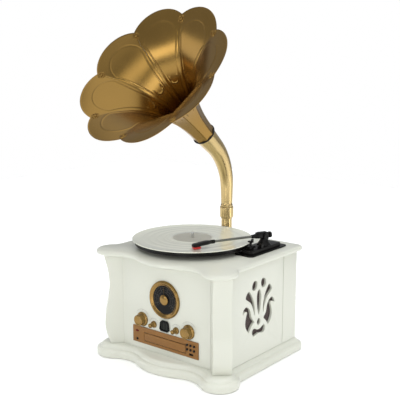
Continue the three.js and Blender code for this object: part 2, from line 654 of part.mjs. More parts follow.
// Motor can hung under the deck, with its pulley inside the platter's rim
function motor() {
  const can = turned([
    [0, 234], [17, 234], [17, DECK_BOTTOM - 3], [24, DECK_BOTTOM - 3], [24, DECK_BOTTOM - GAP],
    [3, DECK_BOTTOM - GAP], [3, 278], [7, 278], [7, 284], [0, 284],
  ], 14);
  return can.translate(MOTOR.x, MOTOR.y, 0);
}
add('motor', motor(), GREY_METAL);

// ---------------------------------------------------------------------------------------------
// Turntable

const turntable = new THREE.Group();
turntable.position.set(TURNTABLE.x, TURNTABLE.y, 0);
assembly.add(turntable);

const bore = SPINDLE_RADIUS + GAP;
const platter = turnedRing([
  [bore, PLATTER.bottom], [14, PLATTER.bottom], [14, PLATTER.top - 3], [141, PLATTER.top - 3],
  [141, PLATTER.bottom], [PLATTER.radius, PLATTER.bottom], [PLATTER.radius, PLATTER.top], [bore, PLATTER.top],
], 40);
add('platter', platter, BLACK_PLASTIC, turntable);

const disc = turnedRing([
  [bore, RECORD.bottom], [RECORD.radius, RECORD.bottom], [RECORD.radius, RECORD.top], [bore, RECORD.top],
], 48);
add('record', disc, VINYL_WHITE, turntable);

const spindle = turned([
  [0, 250], [5, 250], [5, 276], [9, 276], [9, PLATTER.bottom - GAP], [SPINDLE_RADIUS, PLATTER.bottom - GAP],
  [SPINDLE_RADIUS, 311], [2.4, 313.4], [0, 314],
], 12);
add('spindle', spindle, STEEL, turntable);

// ---------------------------------------------------------------------------------------------
// Tonearm: its moulded base, and the parts that turn on it

function armPlate() {
  const low = DECK_TOP + GAP;
  const flange = raised(roundedRectangle(ARM_PLATE.left, ARM_PLATE.front, ARM_PLATE.right, ARM_PLATE.back, 12),
    low, ARM_PLATE.top, 4);
  const hump = raised(roundedRectangle(ARM_BLOCK.left, ARM_BLOCK.front, ARM_BLOCK.right, ARM_BLOCK.back, 8),
    ARM_PLATE.top - 1, ARM_BLOCK.top, 3);
  const clearing = rod(PLATTER.radius + 4, ARM_PLATE.top, ARM_BLOCK.top + 1, 64)
    .translate(TURNTABLE.x, TURNTABLE.y, 0);
  const pedestal = turned([
    [0, ARM_BLOCK.top - 1], [18, ARM_BLOCK.top - 1], [17.2, 290], [10.3, 300], [9.5, 303], [0, 303],
  ], 18).translate(ARM.x, ARM.y, 0);
  const parked = ARM.z - ARM.tube;
  const rest = [
    block([ARM.x - 8, 0, ARM_BLOCK.top - 1], [ARM.x + 6, 16, 295.5]),
    rod(3, ARM_BLOCK.top - 1, parked - 3, 12).translate(ARM.x + 1, 8, 0),
    block([ARM.x - 5, 4, parked - 4], [ARM.x + 7, 12, parked - 0.8]),
    block([ARM.x + 4.5, 4, parked - 3], [ARM.x + 7, 12, ARM.z + 2]),
  ];
  const cheeks = [CUE.x - 6, CUE.x + 4].map((x) => block(
    [x, CUE.y - 4, ARM_BLOCK.top - 1], [x + 2, CUE.y + 4, CUE.z + 4],
  ));
  const pinHole = rod(1.5, CUE.x - 8, CUE.x + 8, 12).rotateY(Math.PI / 2).translate(0, CUE.y, CUE.z);
  return cut(join(flange, cut(hump, clearing), pedestal, ...rest, ...cheeks), pinHole);
}
add('tonearm_plate', armPlate(), BLACK_PLASTIC);

// Lever with a crossways pin in the two cheeks and a knob at its tip
function cueLever() {
  const pin = rod(1.2, -5.8, 5.8, 12).rotateY(Math.PI / 2);
  const boss = rod(3.4, -3.4, 3.4, 14).rotateY(Math.PI / 2);
  const arm = block([-1.8, -24, -1.2], [1.8, 0, 1.2]);
  const tip = rod(2.8, -2.8, 2.8, 12).rotateY(Math.PI / 2).translate(0, -24, 0);
  return join(boss, pin, arm, tip);
}
add('cue_lever', cueLever(), BLACK_PLASTIC).position.set(CUE.x, CUE.y, CUE.z);

const armGroup = new THREE.Group();
armGroup.position.set(ARM.x, ARM.y, ARM.z);
armGroup.rotation.z = ARM.turn;
assembly.add(armGroup);

// Fork on a round foot; the arm's trunnions lie in its two ears. Its floor is low enough for the
// housing to tip back over it, and its foot stops short of the counterweight
function armYoke() {
  const floor = -7.2;
  const foot = rod(9.4, 303 + GAP - ARM.z, floor, 20);
  const ear = (x) => block([x, -6, floor - 0.8], [x + 3, 6, 7]);
  const bridge = block([-12, -6, floor - 1], [12, 6, floor]);
  const pinHole = rod(1.9, -14, 14, 12).rotateY(Math.PI / 2);
  return cut(join(foot, ear(-12), ear(9), bridge), pinHole);
}
add('tonearm_yoke', armYoke(), BLACK_PLASTIC, armGroup);

function armTube() {
  const housing = block([-8, -34, -5.6], [8, 9, 8]);
  const trunnions = rod(1.6, -11.8, 11.8, 12).rotateY(Math.PI / 2);
  const wand = rod(ARM.tube, 33, ARM.neck, 12).rotateX(Math.PI / 2);
  const stub = rod(4, -20.5, -8, 12).rotateX(Math.PI / 2);
  return join(housing, trunnions, wand, stub);
}
add('tonearm_tube', armTube(), GREY_METAL, armGroup);

const weight = turnedRing([[4.3, -19.5], [6.9, -19.5], [7.5, -18.9], [7.5, -13.1], [6.9, -12.5], [4.3, -12.5]], 16);
add('counterweight', weight.rotateX(Math.PI / 2), BLACK_PLASTIC, armGroup);

function headshell() {
  const collar = rod(4.8, ARM.neck + GAP, ARM.neck + 11, 12).rotateX(Math.PI / 2);
  const profile = [[10, 3], [22, 4], [56, 0], [59, -3.5], [57, -7], [22, -5], [10, -3]];
  const outline = polygon(profile.map(([along, up]) => [ARM.neck + along, up]));
  const shell = through(outline, -8.5, 8.5).rotateZ(-Math.PI / 2);
  const fingerLift = block([-15, -ARM.neck - 38, -1.5], [-8, -ARM.neck - 32, 0]);
  return join(shell, collar, fingerLift);
}
add('headshell', headshell(), BLACK_PLASTIC, armGroup);

function cartridge() {
  const back = -ARM.neck - 39;
  const body = block([-6, back - 19, -12], [6, back, -7.3]);
  const stylus = block([-0.8, back - 15.8, -13], [0.8, back - 9, -11.5]);
  return join(body, stylus);
}
add('cartridge', cartridge(), RED_PLASTIC, armGroup);

// ---------------------------------------------------------------------------------------------
// Horn: a fixed post, and the swan neck and bell that turn on it

const postSpigot = POST_RADIUS + 0.5;
const post = turnedRing([
  [11.5, DECK_BOTTOM], [postSpigot, DECK_BOTTOM], [postSpigot, DECK_TOP + GAP], [25, DECK_TOP + GAP], [25, 278], [22, 280],
  [16, 283], [POST_RADIUS, 286], [POST_RADIUS, 341], [11.5, 341],
], 18);
add('horn_post', post.translate(HORN.x, HORN.y, 0), SATIN_BRASS);

// Stations along the neck as [distance above the collar's foot, outside radius]
function neckProfile(length) {
  const collar = [[0, 15.6], [2.5, 15.6], [4.5, COLLAR.radius], [31, COLLAR.radius], [33, 15.9], [37, 15.9], [38, 15.2]];
  const rest = Array.from({ length: 12 }, (_, i) => {
    const along = (i + 1) / 12;
    const radius = 15.2 + (THROAT.radius - 15.2) * along ** 1.4;
    return [38 + (length - 38) * along, radius];
  });
  return [...collar, ...rest];
}

// The neck's centre line: up, round the bend, then straight to the throat
function neckStation(distance) {
  const up = BEND.start - COLLAR.bottom;
  if (distance <= up) return { y: HORN.y, z: COLLAR.bottom + distance, lean: 0 };
  const bent = BELL_TILT * BEND.radius;
  const lean = Math.min((distance - up) / BEND.radius, BELL_TILT);
  const past = Math.max(distance - up - bent, 0);
  return {
    y: HORN.y - BEND.radius * (1 - Math.cos(lean)) - past * Math.sin(lean),
    z: BEND.start + BEND.radius * Math.sin(lean) + past * Math.cos(lean),
    lean,
  };
}

function neckRing(distance, radius, sides = 16) {
  const { y, z, lean } = neckStation(distance);
  return Array.from({ length: sides }, (_, i) => {
    const angle = (2 * Math.PI * i) / sides;
    const across = radius * Math.cos(angle);
    const along = radius * Math.sin(angle);
    return new THREE.Vector3(HORN.x + across, y + along * Math.cos(lean), z + along * Math.sin(lean));
  });
}

const NECK_WALL = 2;
const GASKET = 2.7;
function hornNeck() {
  const bendEnd = neckStation(BEND.start - COLLAR.bottom + BELL_TILT * BEND.radius);
  const straight = (bendEnd.y - THROAT.y) / Math.sin(BELL_TILT) - GASKET - 2 * GAP;
  const length = BEND.start - COLLAR.bottom + BELL_TILT * BEND.radius + straight;
  const outside = neckProfile(length);
  const socket = [[0, POST_RADIUS + 0.4], [24, POST_RADIUS + 0.4], [24, 12.4]];
  const bore = outside.filter(([distance], i) => distance > 40 && i % 3 === 0);
  const inside = [...socket, ...bore.map(([distance, radius]) => [distance, radius - NECK_WALL])];
  return loft([...outside, ...inside.reverse()].map((station) => neckRing(...station)), true);
}
add('horn_neck', hornNeck(), SATIN_BRASS);

// The bell's own frame: its axis is local Z, from the throat to the mouth
const bell = new THREE.Group();
bell.position.set(HORN.x, THROAT.y, THROAT.z);
bell.rotation.set(BELL_TILT, 0, 0);
assembly.add(bell);

const gasketEnd = -GAP;
const gasket = turnedRing([
  [25, gasketEnd - GASKET], [29.6, gasketEnd - GASKET], [30.4, gasketEnd - GASKET / 2], [29.6, gasketEnd], [25, gasketEnd],
], 24);
add('throat_gasket', gasket, RUBBER, bell);

// Middle line of a petal: [distance along the bell's axis, distance from it], a flare that ends
// almost square to the axis
const FLARE = new THREE.CubicBezierCurve(
  new THREE.Vector2(0, 26.5), new THREE.Vector2(150, 30), new THREE.Vector2(232, 93), new THREE.Vector2(252.4, 200.5),
);
const HALF_SECTOR = Math.PI / PETALS;
const CHORD = NOTCH_RADIUS * Math.cos(HALF_SECTOR);
const CHORD_HALF = NOTCH_RADIUS * Math.sin(HALF_SECTOR);
const LOBE_RADIUS = (CHORD_HALF ** 2 + LOBE_RISE ** 2) / (2 * LOBE_RISE);

// The curve parameter where the flare reaches a given distance from the axis
function flareAt(distance) {
  let [low, high] = [0, 1];
  for (let i = 0; i < 40; i += 1) {
    const middle = (low + high) / 2;
    if (FLARE.getPoint(middle).y < distance) low = middle;
    else high = middle;
  }
  return low;
}

// Rows across the petal as { t, half }: curve parameter and half width
function petalRows() {
  const chordT = flareAt(CHORD);
  const seamRows = Array.from({ length: 8 }, (_, i) => {
    const t = (chordT * i) / 8;
    return { t, half: FLARE.getPoint(t).y * Math.tan(HALF_SECTOR) };
  });
  const sweep = Math.asin(CHORD_HALF / LOBE_RADIUS);
  const rimRows = [1, 0.85, 0.66, 0.42, 0.12].map((share) => {
    const rise = LOBE_RADIUS * Math.cos(sweep * share) - (LOBE_RADIUS - LOBE_RISE);
    return { t: flareAt(CHORD + rise), half: LOBE_RADIUS * Math.sin(sweep * share) };
  });
  return [...seamRows, ...rimRows];
}

// One petal, flat across and curved along its length, its middle line in the local XZ plane
function petal() {
  const across = [-1, 0, 1];
  const surface = (offset) => petalRows().map(({ t, half }) => {
    const point = FLARE.getPoint(t);
    const tangent = FLARE.getTangent(t);
    const along = point.x - tangent.y * offset;
    const out = point.y + tangent.x * offset;
    return across.map((share) => new THREE.Vector3(out, share * (half - GAP / 2), along));
  });
  return slab(surface(0), surface(PETAL_THICKNESS));
}

for (let k = 0; k < PETALS; k += 1) {
  const leaf = add(`horn_petal_${k + 1}`, petal(), SATIN_BRASS, bell);
  leaf.rotation.z = Math.PI / 2 + BELL_ROLL + HALF_SECTOR + 2 * HALF_SECTOR * k;
}

// ---------------------------------------------------------------------------------------------
// Origin at the bottom centre of the whole object's box

assembly.updateMatrixWorld(true);
const extent = new THREE.Box3().setFromObject(assembly, true);
const middle = extent.getCenter(new THREE.Vector3());
assembly.position.set(-middle.x, -middle.y, -extent.min.z);

const model = new THREE.Group();
model.add(assembly);

export default model;
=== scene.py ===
"""Looks of the gramophone-style music centre: lacquered cabinet, record deck, radio dial and petal horn.

Lengths are written in millimetres in the working frame of the CAD source: X = 0 is the cabinet's middle
plane, Y = 0 is halfway between its front and back faces and Z = 0 is the table. Every piece is moved
into the row frame, in metres, when its mesh is made.
"""

import math

import bmesh
import bpy
import numpy as np
from mathutils import Matrix, Vector


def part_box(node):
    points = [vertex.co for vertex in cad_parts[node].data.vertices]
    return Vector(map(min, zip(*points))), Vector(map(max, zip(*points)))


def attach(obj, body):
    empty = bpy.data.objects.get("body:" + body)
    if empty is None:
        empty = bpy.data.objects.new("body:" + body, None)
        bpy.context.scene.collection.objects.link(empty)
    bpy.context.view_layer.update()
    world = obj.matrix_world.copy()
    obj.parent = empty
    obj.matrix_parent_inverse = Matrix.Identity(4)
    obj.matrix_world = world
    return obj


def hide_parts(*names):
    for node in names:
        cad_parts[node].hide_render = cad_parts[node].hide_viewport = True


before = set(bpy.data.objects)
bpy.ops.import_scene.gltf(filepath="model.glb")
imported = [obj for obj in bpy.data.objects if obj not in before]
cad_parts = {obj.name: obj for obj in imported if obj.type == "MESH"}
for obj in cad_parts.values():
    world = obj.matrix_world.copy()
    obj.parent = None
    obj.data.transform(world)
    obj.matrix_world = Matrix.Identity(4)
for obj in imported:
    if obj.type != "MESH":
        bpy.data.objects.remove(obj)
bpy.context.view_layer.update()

MM = 0.001

# Driving dimensions

HALF_WIDTH = 176
HALF_DEPTH = 153.5
PANEL = 12
BASE_TOP = 31.2
DECK_BOTTOM = 261.5
DECK_TOP = 275.5
GAP = 0.3
WALL_BOTTOM = BASE_TOP + GAP
WALL_TOP = DECK_BOTTOM - GAP

BOW_FRONT = -198
COVE = (98, -175)
EAR = (168, -156)
EAR_RADIUS = 42
SIDE = 190
FILLET = 30
BACK = 170
CORNER = 20
PLINTH = 4

COLUMN = (188, -169.9)
COLUMN_WIDTH = 45
COLUMN_DEPTH = 63
COLUMN_WAIST_Z = 187
COLUMN_BELLY_Z = 84.4
COLUMN_WAIST = 12.6
COLUMN_FOOT = 13.3

GROOVE_Y = 93
FRET_Y = -12
FRET_Z = 155
FRET_BOARD = 7
CLOTH_SIZE = (150, 152)

DIAL_Z = 173.5
LARGE_KNOB = (74, 109.3)
SMALL_KNOB = (35.5, 104)
LARGE_KNOB_SIZE = (18, 14, 17.5)  # flange radius, body radius, length
SMALL_KNOB_SIZE = (8.6, 5.6, 16.5)
INK = 0.12
DISPLAY_Z = 107.5
PANEL_FACE = -HALF_DEPTH - GAP - 2
CD_Z = 68.2
DRAWER_Z = 65.6
BUTTON_COLUMNS = (70.5, 81.2, 91.9)
BUTTON_ROWS = (77.6, 66.4)
PANEL_SIZE = (209.7, 42)
LAMP = (-90.5, 76.4)
JACK = (-90, 55.6)
USB = (83, 55.4)
SOCKET_Z = 72

TURNTABLE = (-23.6, -20.2)
RECORD_TOP = 298.7
ARM = (134, 66, 312)
ARM_TURN = math.radians(-23.2)
ARM_NECK = 139.5
ARM_STEP = 287  # top of the base's upper step, less its rounded edge
CUE = (146, 34, 295)
PLATTER_TOP = 296.4

HORN = (-43, 147.5)
POST_RADIUS = 14
COLLAR_BOTTOM = 318
BEND_START = 400
BEND_RADIUS = 152
THROAT = (47.8, 553.1)
THROAT_RADIUS = 27.4
BELL_TILT = math.radians(51.2)
BELL_ROLL = math.radians(1.3)
PETALS = 8
NOTCH_RADIUS = 180.2
LOBE_RISE = 34
# Control points of the bell's profile as (distance from the throat, radius)
FLARE = ((0, 26.5), (150, 30), (232, 93), (252.4, 200.5))

# The working frame's origin, found from two CAD nodes
DECK_LOW, DECK_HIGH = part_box("deck_board")
WALL_LOW, WALL_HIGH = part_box("front_panel")
ORIGIN = Vector(((DECK_LOW.x + DECK_HIGH.x) / 2, WALL_LOW.y + HALF_DEPTH * MM, 0))


def place(x=0, y=0, z=0):
    return Matrix.Translation((x, y, z))


def front(x, z, y=-HALF_DEPTH):
    """A frame on the front wall whose Z axis points out of the cabinet."""
    return place(x, y, z) @ ALONG


def back(x, z, y=HALF_DEPTH):
    """A frame on the back wall whose Z axis points out of the cabinet."""
    return place(x, y, z) @ ALONG.inverted()


def upright(x, y=0, z=0, side=1):
    """A frame that stands an outline drawn as (y, z) on edge, its thickness along X."""
    return Matrix(((0, 0, side, x), (1, 0, 0, y), (0, 1, 0, z), (0, 0, 0, 1)))


ALONG = Matrix.Rotation(math.pi / 2, 4, "X")
ACROSS = Matrix.Rotation(math.pi / 2, 4, "Y")
TO_ROW = Matrix.Translation(ORIGIN) @ Matrix.Scale(MM, 4)
ARM_FRAME = place(*ARM) @ Matrix.Rotation(ARM_TURN, 4, "Z")
BELL_FRAME = place(HORN[0], *THROAT) @ Matrix.Rotation(BELL_TILT, 4, "X")

# Materials: each has its own grain and colour drift, most also a roughness drift, in object coordinates


class Nodes:
    """A node tree with small helpers to build it up."""

    def __init__(self, tree):
        self.tree = tree

    def node(self, kind, **values):
        made = self.tree.nodes.new(kind)
        for key, value in values.items():
            setattr(made, key, value)
        return made

    def link(self, source, target):
        self.tree.links.new(source, target)

    def compute(self, operation, *values):
        """A Math node fed by other nodes' outputs or by plain numbers."""
        made = self.node("ShaderNodeMath", operation=operation)
        for socket, value in zip(made.inputs, values):
            if isinstance(value, (int, float)):
                socket.default_value = value
            else:
                self.link(value, socket)
        return made.outputs["Value"]

    def spread(self, source, low, high, start=0.3, end=0.7, interpolation="LINEAR"):
        """Maps the range from start to end onto low to high, and holds it beyond."""
        spread = self.node("ShaderNodeMapRange", interpolation_type=interpolation)
        for name, value in (("From Min", start), ("From Max", end), ("To Min", low), ("To Max", high)):
            spread.inputs[name].default_value = value
        self.link(source, spread.inputs["Value"])
        return spread.outputs["Result"]


class Look(Nodes):
    """A material: a shader and the patterns that vary its colour, roughness and surface."""

    def __init__(self, name, color, rough, metallic=0.0, coat=0.0, coat_rough=0.1, specular=0.5):
        self.material = bpy.data.materials.new(name)
        self.material.use_nodes = True
        self.material.diffuse_color = (*color, 1)
        super().__init__(self.material.node_tree)
        self.shader = self.tree.nodes["Principled BSDF"]
        for socket, value in (("Base Color", (*color, 1)), ("Roughness", rough), ("Metallic", metallic),
                              ("Coat Weight", coat), ("Coat Roughness", coat_rough),
                              ("Specular IOR Level", specular)):
            self.shader.inputs[socket].default_value = value
        self.coords = self.node("ShaderNodeTexCoord").outputs["Object"]

    def noise(self, scale, detail=4.0, roughness=0.55, stretch=(1, 1, 1)):
        mapping = self.node("ShaderNodeMapping")
        mapping.inputs["Scale"].default_value = stretch
        self.link(self.coords, mapping.inputs["Vector"])
        noise = self.node("ShaderNodeTexNoise")
        for socket, value in (("Scale", scale), ("Detail", detail), ("Roughness", roughness)):
            noise.inputs[socket].default_value = value
        self.link(mapping.outputs["Vector"], noise.inputs["Vector"])
        return noise.outputs["Fac"]

    def colored(self, source, dark, light):
        ramp = self.node("ShaderNodeValToRGB")
        for point, at, color in zip(ramp.color_ramp.elements, (0.3, 0.7), (dark, light)):
            point.position = at
            point.color = (*color, 1)
        self.link(source, ramp.inputs["Fac"])
        self.link(ramp.outputs["Color"], self.shader.inputs["Base Color"])
        return self

    def roughened(self, source, low, high):
        self.link(self.spread(source, low, high), self.shader.inputs["Roughness"])
        return self

    def bumped(self, source, strength, distance):
        bump = self.node("ShaderNodeBump")
        bump.inputs["Strength"].default_value = strength
        bump.inputs["Distance"].default_value = distance
        self.link(source, bump.inputs["Height"])
        self.link(bump.outputs["Normal"], self.shader.inputs["Normal"])
        return self


def scaled(color, factor):
    return tuple(min(c * factor, 1) for c in color)


def finish(name, color, rough, tone, drift, wear, rough_range, grain, depth, **shader):
    """A finish whose colour, roughness and surface each follow their own noise."""
    look = Look(name, color, rough, **shader)
    look.colored(look.noise(*tone), scaled(color, drift[0]), scaled(color, drift[1]))
    look.roughened(look.noise(*wear), *rough_range)
    return look.bumped(look.noise(*grain), *depth).material


def brass(name, color):
    return finish(name, color, 0.24, (7, 3, 0.5), (0.95, 1.05), (14, 3, 0.5), (0.22, 0.27),
                  (1400, 2), (0.02, 0.0001), metallic=1.0)


def plastic(name, color, rough, grain=1400, depth=0.25, specular=0.5):
    return finish(name, color, rough, (25, 3), (0.85, 1.15), (120, 3), (rough * 0.9, rough * 1.12),
                  (grain, 3), (depth, 0.0003), specular=specular)


def metal(name, color, rough, stretch=(1, 1, 1)):
    return finish(name, color, rough, (40, 4), (0.9, 1.1), (300, 4, 0.6, stretch),
                  (rough * 0.85, rough * 1.2), (900, 3, 0.6, stretch), (0.05, 0.0001), metallic=1.0)


def vinyl():
    """Glossy white vinyl whose fine grooves run round the spindle."""
    white = (0.80, 0.81, 0.68)
    look = Look("white_vinyl_grooved", white, 0.2, coat=0.8, coat_rough=0.04)
    look.colored(look.noise(12, 4), scaled(white, 0.99), scaled(white, 1.01))
    offset = look.node("ShaderNodeVectorMath", operation="SUBTRACT")
    offset.inputs[1].default_value = TO_ROW @ Vector((*TURNTABLE, RECORD_TOP))
    look.link(look.coords, offset.inputs[0])
    radius = look.node("ShaderNodeVectorMath", operation="LENGTH")
    look.link(offset.outputs["Vector"], radius.inputs[0])
    wave = look.compute("SINE", look.compute("MULTIPLY", radius.outputs["Value"], math.tau / GROOVE_PITCH))
    look.roughened(look.noise(200, 3), 0.16, 0.22)
    return look.bumped(wave, 0.04, 0.00003).material


def cloth():
    """Dark red-brown speaker cloth with an over-and-under weave."""
    color = (0.035, 0.014, 0.011)
    look = Look("grille_cloth_weave", color, 0.9)
    parts = look.node("ShaderNodeSeparateXYZ")
    look.link(look.coords, parts.inputs["Vector"])
    waves = [
        look.compute("SINE", look.compute("MULTIPLY", parts.outputs[axis], math.pi / THREAD_WIDTH))
        for axis in ("Y", "Z")
    ]
    weave = look.compute("MULTIPLY_ADD", look.compute("MULTIPLY", *waves), 0.5, 0.5)
    look.colored(weave, scaled(color, 0.5), scaled(color, 1.5))
    look.shader.inputs["Sheen Weight"].default_value = 0.3
    return look.bumped(weave, 0.7, 0.0004).material


GROOVE_PITCH = 0.0011  # metres, coarse enough to show
THREAD_WIDTH = 0.0012
STREAKS = (30, 5, 0.6, (1, 1, 18))
LACQUER = finish("white_lacquer_paint", (0.64, 0.645, 0.56), 0.3, (5, 3), (0.99, 1.005), (40, 3),
                 (0.29, 0.33), (420, 2), (0.015, 0.0004), coat=0.35, coat_rough=0.12)
BRASS = brass("antique_brass_lacquer", (0.30, 0.178, 0.049))
# The post and neck are the same brass as the bell, painted paler and brighter to stand in for the bright
# reflections along them: a painted highlight.
PIPE_BRASS_PAINTED_BRIGHT = brass("brass_brightened_as_painted_highlight", (0.54, 0.40, 0.185))
GOLD = finish("gold_metallised_plastic", (0.28, 0.172, 0.058), 0.26, (30, 4), (0.98, 1.02), (150, 4),
              (0.23, 0.27), (1500, 2), (0.01, 0.0001), metallic=1.0)
COPPER = finish("copper_gold_panel", (0.255, 0.118, 0.03), 0.42, STREAKS, (0.9, 1.08), STREAKS,
                (0.38, 0.48), STREAKS, (0.05, 0.0002), metallic=0.5)
VINYL = vinyl()
CLOTH = cloth()
PAPER = finish("label_paper", (0.44, 0.43, 0.37), 0.55, (90, 6, 0.7), (0.94, 1.05), (300, 3), (0.5, 0.62),
               (1800, 4), (0.15, 0.0001))
BLACK = plastic("black_moulded_plastic", (0.0045, 0.004, 0.0035), 0.33, depth=0.12, specular=0.2)
GLOSS_BLACK = plastic(
    "black_gloss_plastic", (0.004, 0.004, 0.004), 0.16, grain=500, depth=0.03, specular=0.12,
)
SLAT_BLACK = plastic("display_slat_plastic", (0.020, 0.022, 0.017), 0.3, grain=900, depth=0.1, specular=0.2)
RED = plastic("cartridge_red_plastic", (0.62, 0.025, 0.02), 0.32)
LAMP_RED = plastic("lamp_red_plastic", (0.13, 0.005, 0.010), 0.2, grain=600, depth=0.05, specular=0.15)
PRINT = plastic("grey_print", (0.33, 0.33, 0.31), 0.5, depth=0.1)
DIAL_PRINT = plastic("dial_print", (0.12, 0.11, 0.09), 0.5, depth=0.1, specular=0.2)
DIAL_BLACK = plastic("dial_black_plastic", (0.005, 0.0045, 0.0045), 0.3, grain=500, depth=0.03, specular=0.12)
HAND_METAL = metal("dial_hand_metal", (0.075, 0.055, 0.028), 0.4)
RUBBER = plastic("black_rubber", (0.012, 0.012, 0.012), 0.8, grain=700, depth=0.4)
GREEN = plastic("circuit_board_green", (0.02, 0.10, 0.04), 0.5)
SOCKET_RED = plastic("socket_red_plastic", (0.45, 0.02, 0.02), 0.35)
SOCKET_WHITE = plastic("socket_white_plastic", (0.6, 0.6, 0.57), 0.35)
GREY_METAL = metal("tonearm_grey_metal", (0.20, 0.205, 0.18), 0.3, stretch=(1, 8, 1))
STEEL = metal("bright_steel", (0.62, 0.62, 0.60), 0.3)

# Mesh helpers. A shape is (points, faces) in millimetres


def moved(shape, matrix):
    points, faces = shape
    return [matrix @ Vector(p) for p in points], faces


def merged(*shapes):
    points, faces = [], []
    for own_points, own_faces in shapes:
        start = len(points)
        points += list(own_points)
        faces += [tuple(start + i for i in face) for face in own_faces]
    return points, faces


def lathe(profile, segments=64, ring=False):
    """A turned solid round Z from (radius, height) pairs; a ring's profile closes on itself."""
    points, rows, faces = [], [], []
    for radius, height in profile:
        if radius < 1e-6:
            rows.append([len(points)] * segments)
            points.append(Vector((0, 0, height)))
            continue
        rows.append([len(points) + i for i in range(segments)])
        for i in range(segments):
            angle = math.tau * i / segments
            points.append(Vector((radius * math.cos(angle), radius * math.sin(angle), height)))
    pairs = list(zip(rows, rows[1:])) + ([(rows[-1], rows[0])] if ring else [])
    for low, high in pairs:
        for i in range(segments):
            j = (i + 1) % segments
            corners = dict.fromkeys((low[i], low[j], high[j], high[i]))
            if len(corners) > 2:
                faces.append(tuple(corners))
    return points, faces


def lofted(rings, loop=False):
    """A skin through rings of equally many points, capped unless it loops back on itself."""
    count = len(rings[0])
    points = [Vector(p) for ring in rings for p in ring]
    faces = []
    for k in range(len(rings) if loop else len(rings) - 1):
        near, far = k * count, (k + 1) % len(rings) * count
        for i in range(count):
            j = (i + 1) % count
            faces.append((near + i, near + j, far + j, far + i))
    if not loop:
        last = (len(rings) - 1) * count
        faces.append(tuple(range(count))[::-1])
        faces.append(tuple(range(last, last + count)))
    return points, faces


def rod(radius, low, high, segments):
    return lathe([(0, low), (radius, low), (radius, high), (0, high)], segments)


def brick(low, high):
    """A rectangular solid given by two corners."""
    ring = [(low[0], low[1]), (high[0], low[1]), (high[0], high[1]), (low[0], high[1])]
    return lofted([[(x, y, z) for x, y in ring] for z in (low[2], high[2])])


def smoothed(pairs, steps=5):
    """Points on a curve that passes through every pair (Catmull-Rom)."""
    ends = [pairs[0], *pairs, pairs[-1]]
    result = []
    for four in zip(ends, ends[1:], ends[2:], ends[3:]):
        for i in range(steps):
            t = i / steps
            result.append(tuple(
                0.5 * (2 * q + (r - p) * t + (2 * p - 5 * q + 4 * r - s) * t**2
                       + (3 * q - p - 3 * r + s) * t**3)
                for p, q, r, s in zip(*four)
            ))
    return [*result, tuple(pairs[-1])]


def arc(center, radius, start, end, steps):
    return [
        (center[0] + radius * math.cos(start + (end - start) * i / steps),
         center[1] + radius * math.sin(start + (end - start) * i / steps))
        for i in range(steps + 1)
    ]


def circle(x, y, radius, steps=40):
    return arc((x, y), radius, 0, math.tau, steps)[:-1]


def rounded_rectangle(x0, y0, x1, y1, radius, steps=8):
    quarter = math.pi / 2
    return (
        arc((x1 - radius, y0 + radius), radius, -quarter, 0, steps)
        + arc((x1 - radius, y1 - radius), radius, 0, quarter, steps)
        + arc((x0 + radius, y1 - radius), radius, quarter, 2 * quarter, steps)
        + arc((x0 + radius, y0 + radius), radius, 2 * quarter, 3 * quarter, steps)
    )


def evaluated_mesh(piece):
    bpy.context.view_layer.update()
    return bpy.data.meshes.new_from_object(piece.evaluated_get(bpy.context.evaluated_depsgraph_get()))


def solid_of(curve, lift=0.0):
    """The solid that an extruded curve or text makes, raised by a distance."""
    carrier = bpy.data.objects.new("outline", curve)
    bpy.context.scene.collection.objects.link(carrier)
    mesh = evaluated_mesh(carrier)
    work = bmesh.new()
    work.from_mesh(mesh)
    bmesh.ops.remove_doubles(work, verts=work.verts, dist=1e-4)
    points = [v.co + Vector((0, 0, lift)) for v in work.verts]
    faces = [tuple(v.index for v in f.verts) for f in work.faces]
    work.free()
    bpy.data.objects.remove(carrier)
    bpy.data.curves.remove(curve)
    bpy.data.meshes.remove(mesh)
    return points, faces


def plate(outlines, thickness, edge):
    """A flat plate from z = 0 to its thickness, its first outline pierced by the others, edges rounded."""
    curve = bpy.data.curves.new("outline", "CURVE")
    curve.dimensions = "2D"
    curve.fill_mode = "BOTH"
    curve.extrude = thickness / 2 - edge
    curve.bevel_depth = edge
    curve.bevel_resolution = 2
    curve.offset = -edge
    for outline in outlines:
        spline = curve.splines.new("POLY")
        spline.points.add(len(outline) - 1)
        for point, (x, y) in zip(spline.points, outline):
            point.co = (x, y, 0, 1)
        spline.use_cyclic_u = True
    return solid_of(curve, thickness / 2)


def mesh_object(name, shape, matrix=None):
    points, faces = moved(shape, TO_ROW @ (matrix or Matrix.Identity(4)))
    mesh = bpy.data.meshes.new(name)
    mesh.from_pydata([tuple(p) for p in points], [], faces)
    work = bmesh.new()
    work.from_mesh(mesh)
    bmesh.ops.recalc_face_normals(work, faces=work.faces)
    work.to_mesh(mesh)
    work.free()
    piece = bpy.data.objects.new(name, mesh)
    bpy.context.scene.collection.objects.link(piece)
    return piece


def carved(piece, *cutters):
    """Cuts shapes out of a piece for good."""
    for k, cutter in enumerate(cutters):
        tool = mesh_object(f"tool_{k}", cutter)
        cut = piece.modifiers.new("cut", "BOOLEAN")
        cut.object = tool
        cut.operation = "DIFFERENCE"
        cut.solver = "EXACT"
        result = evaluated_mesh(piece)
        piece.modifiers.clear()
        piece.data = result
        bpy.data.objects.remove(tool)


def dress(piece, look, body, replaces=(), bevel=0.0, smooth=35):
    """Gives a piece its finish, soft edges and place in the frame."""
    piece.data.materials.clear()
    piece.data.materials.append(look)
    piece.data.shade_smooth()
    piece.data.set_sharp_from_angle(angle=math.radians(smooth))
    if bevel:
        soft = piece.modifiers.new("soft_edges", "BEVEL")
        soft.width = bevel * MM
        soft.segments = 3
        soft.limit_method = "ANGLE"
        soft.angle_limit = math.radians(40)
        soft.harden_normals = True
    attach(piece, body)
    if replaces:
        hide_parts(*replaces)


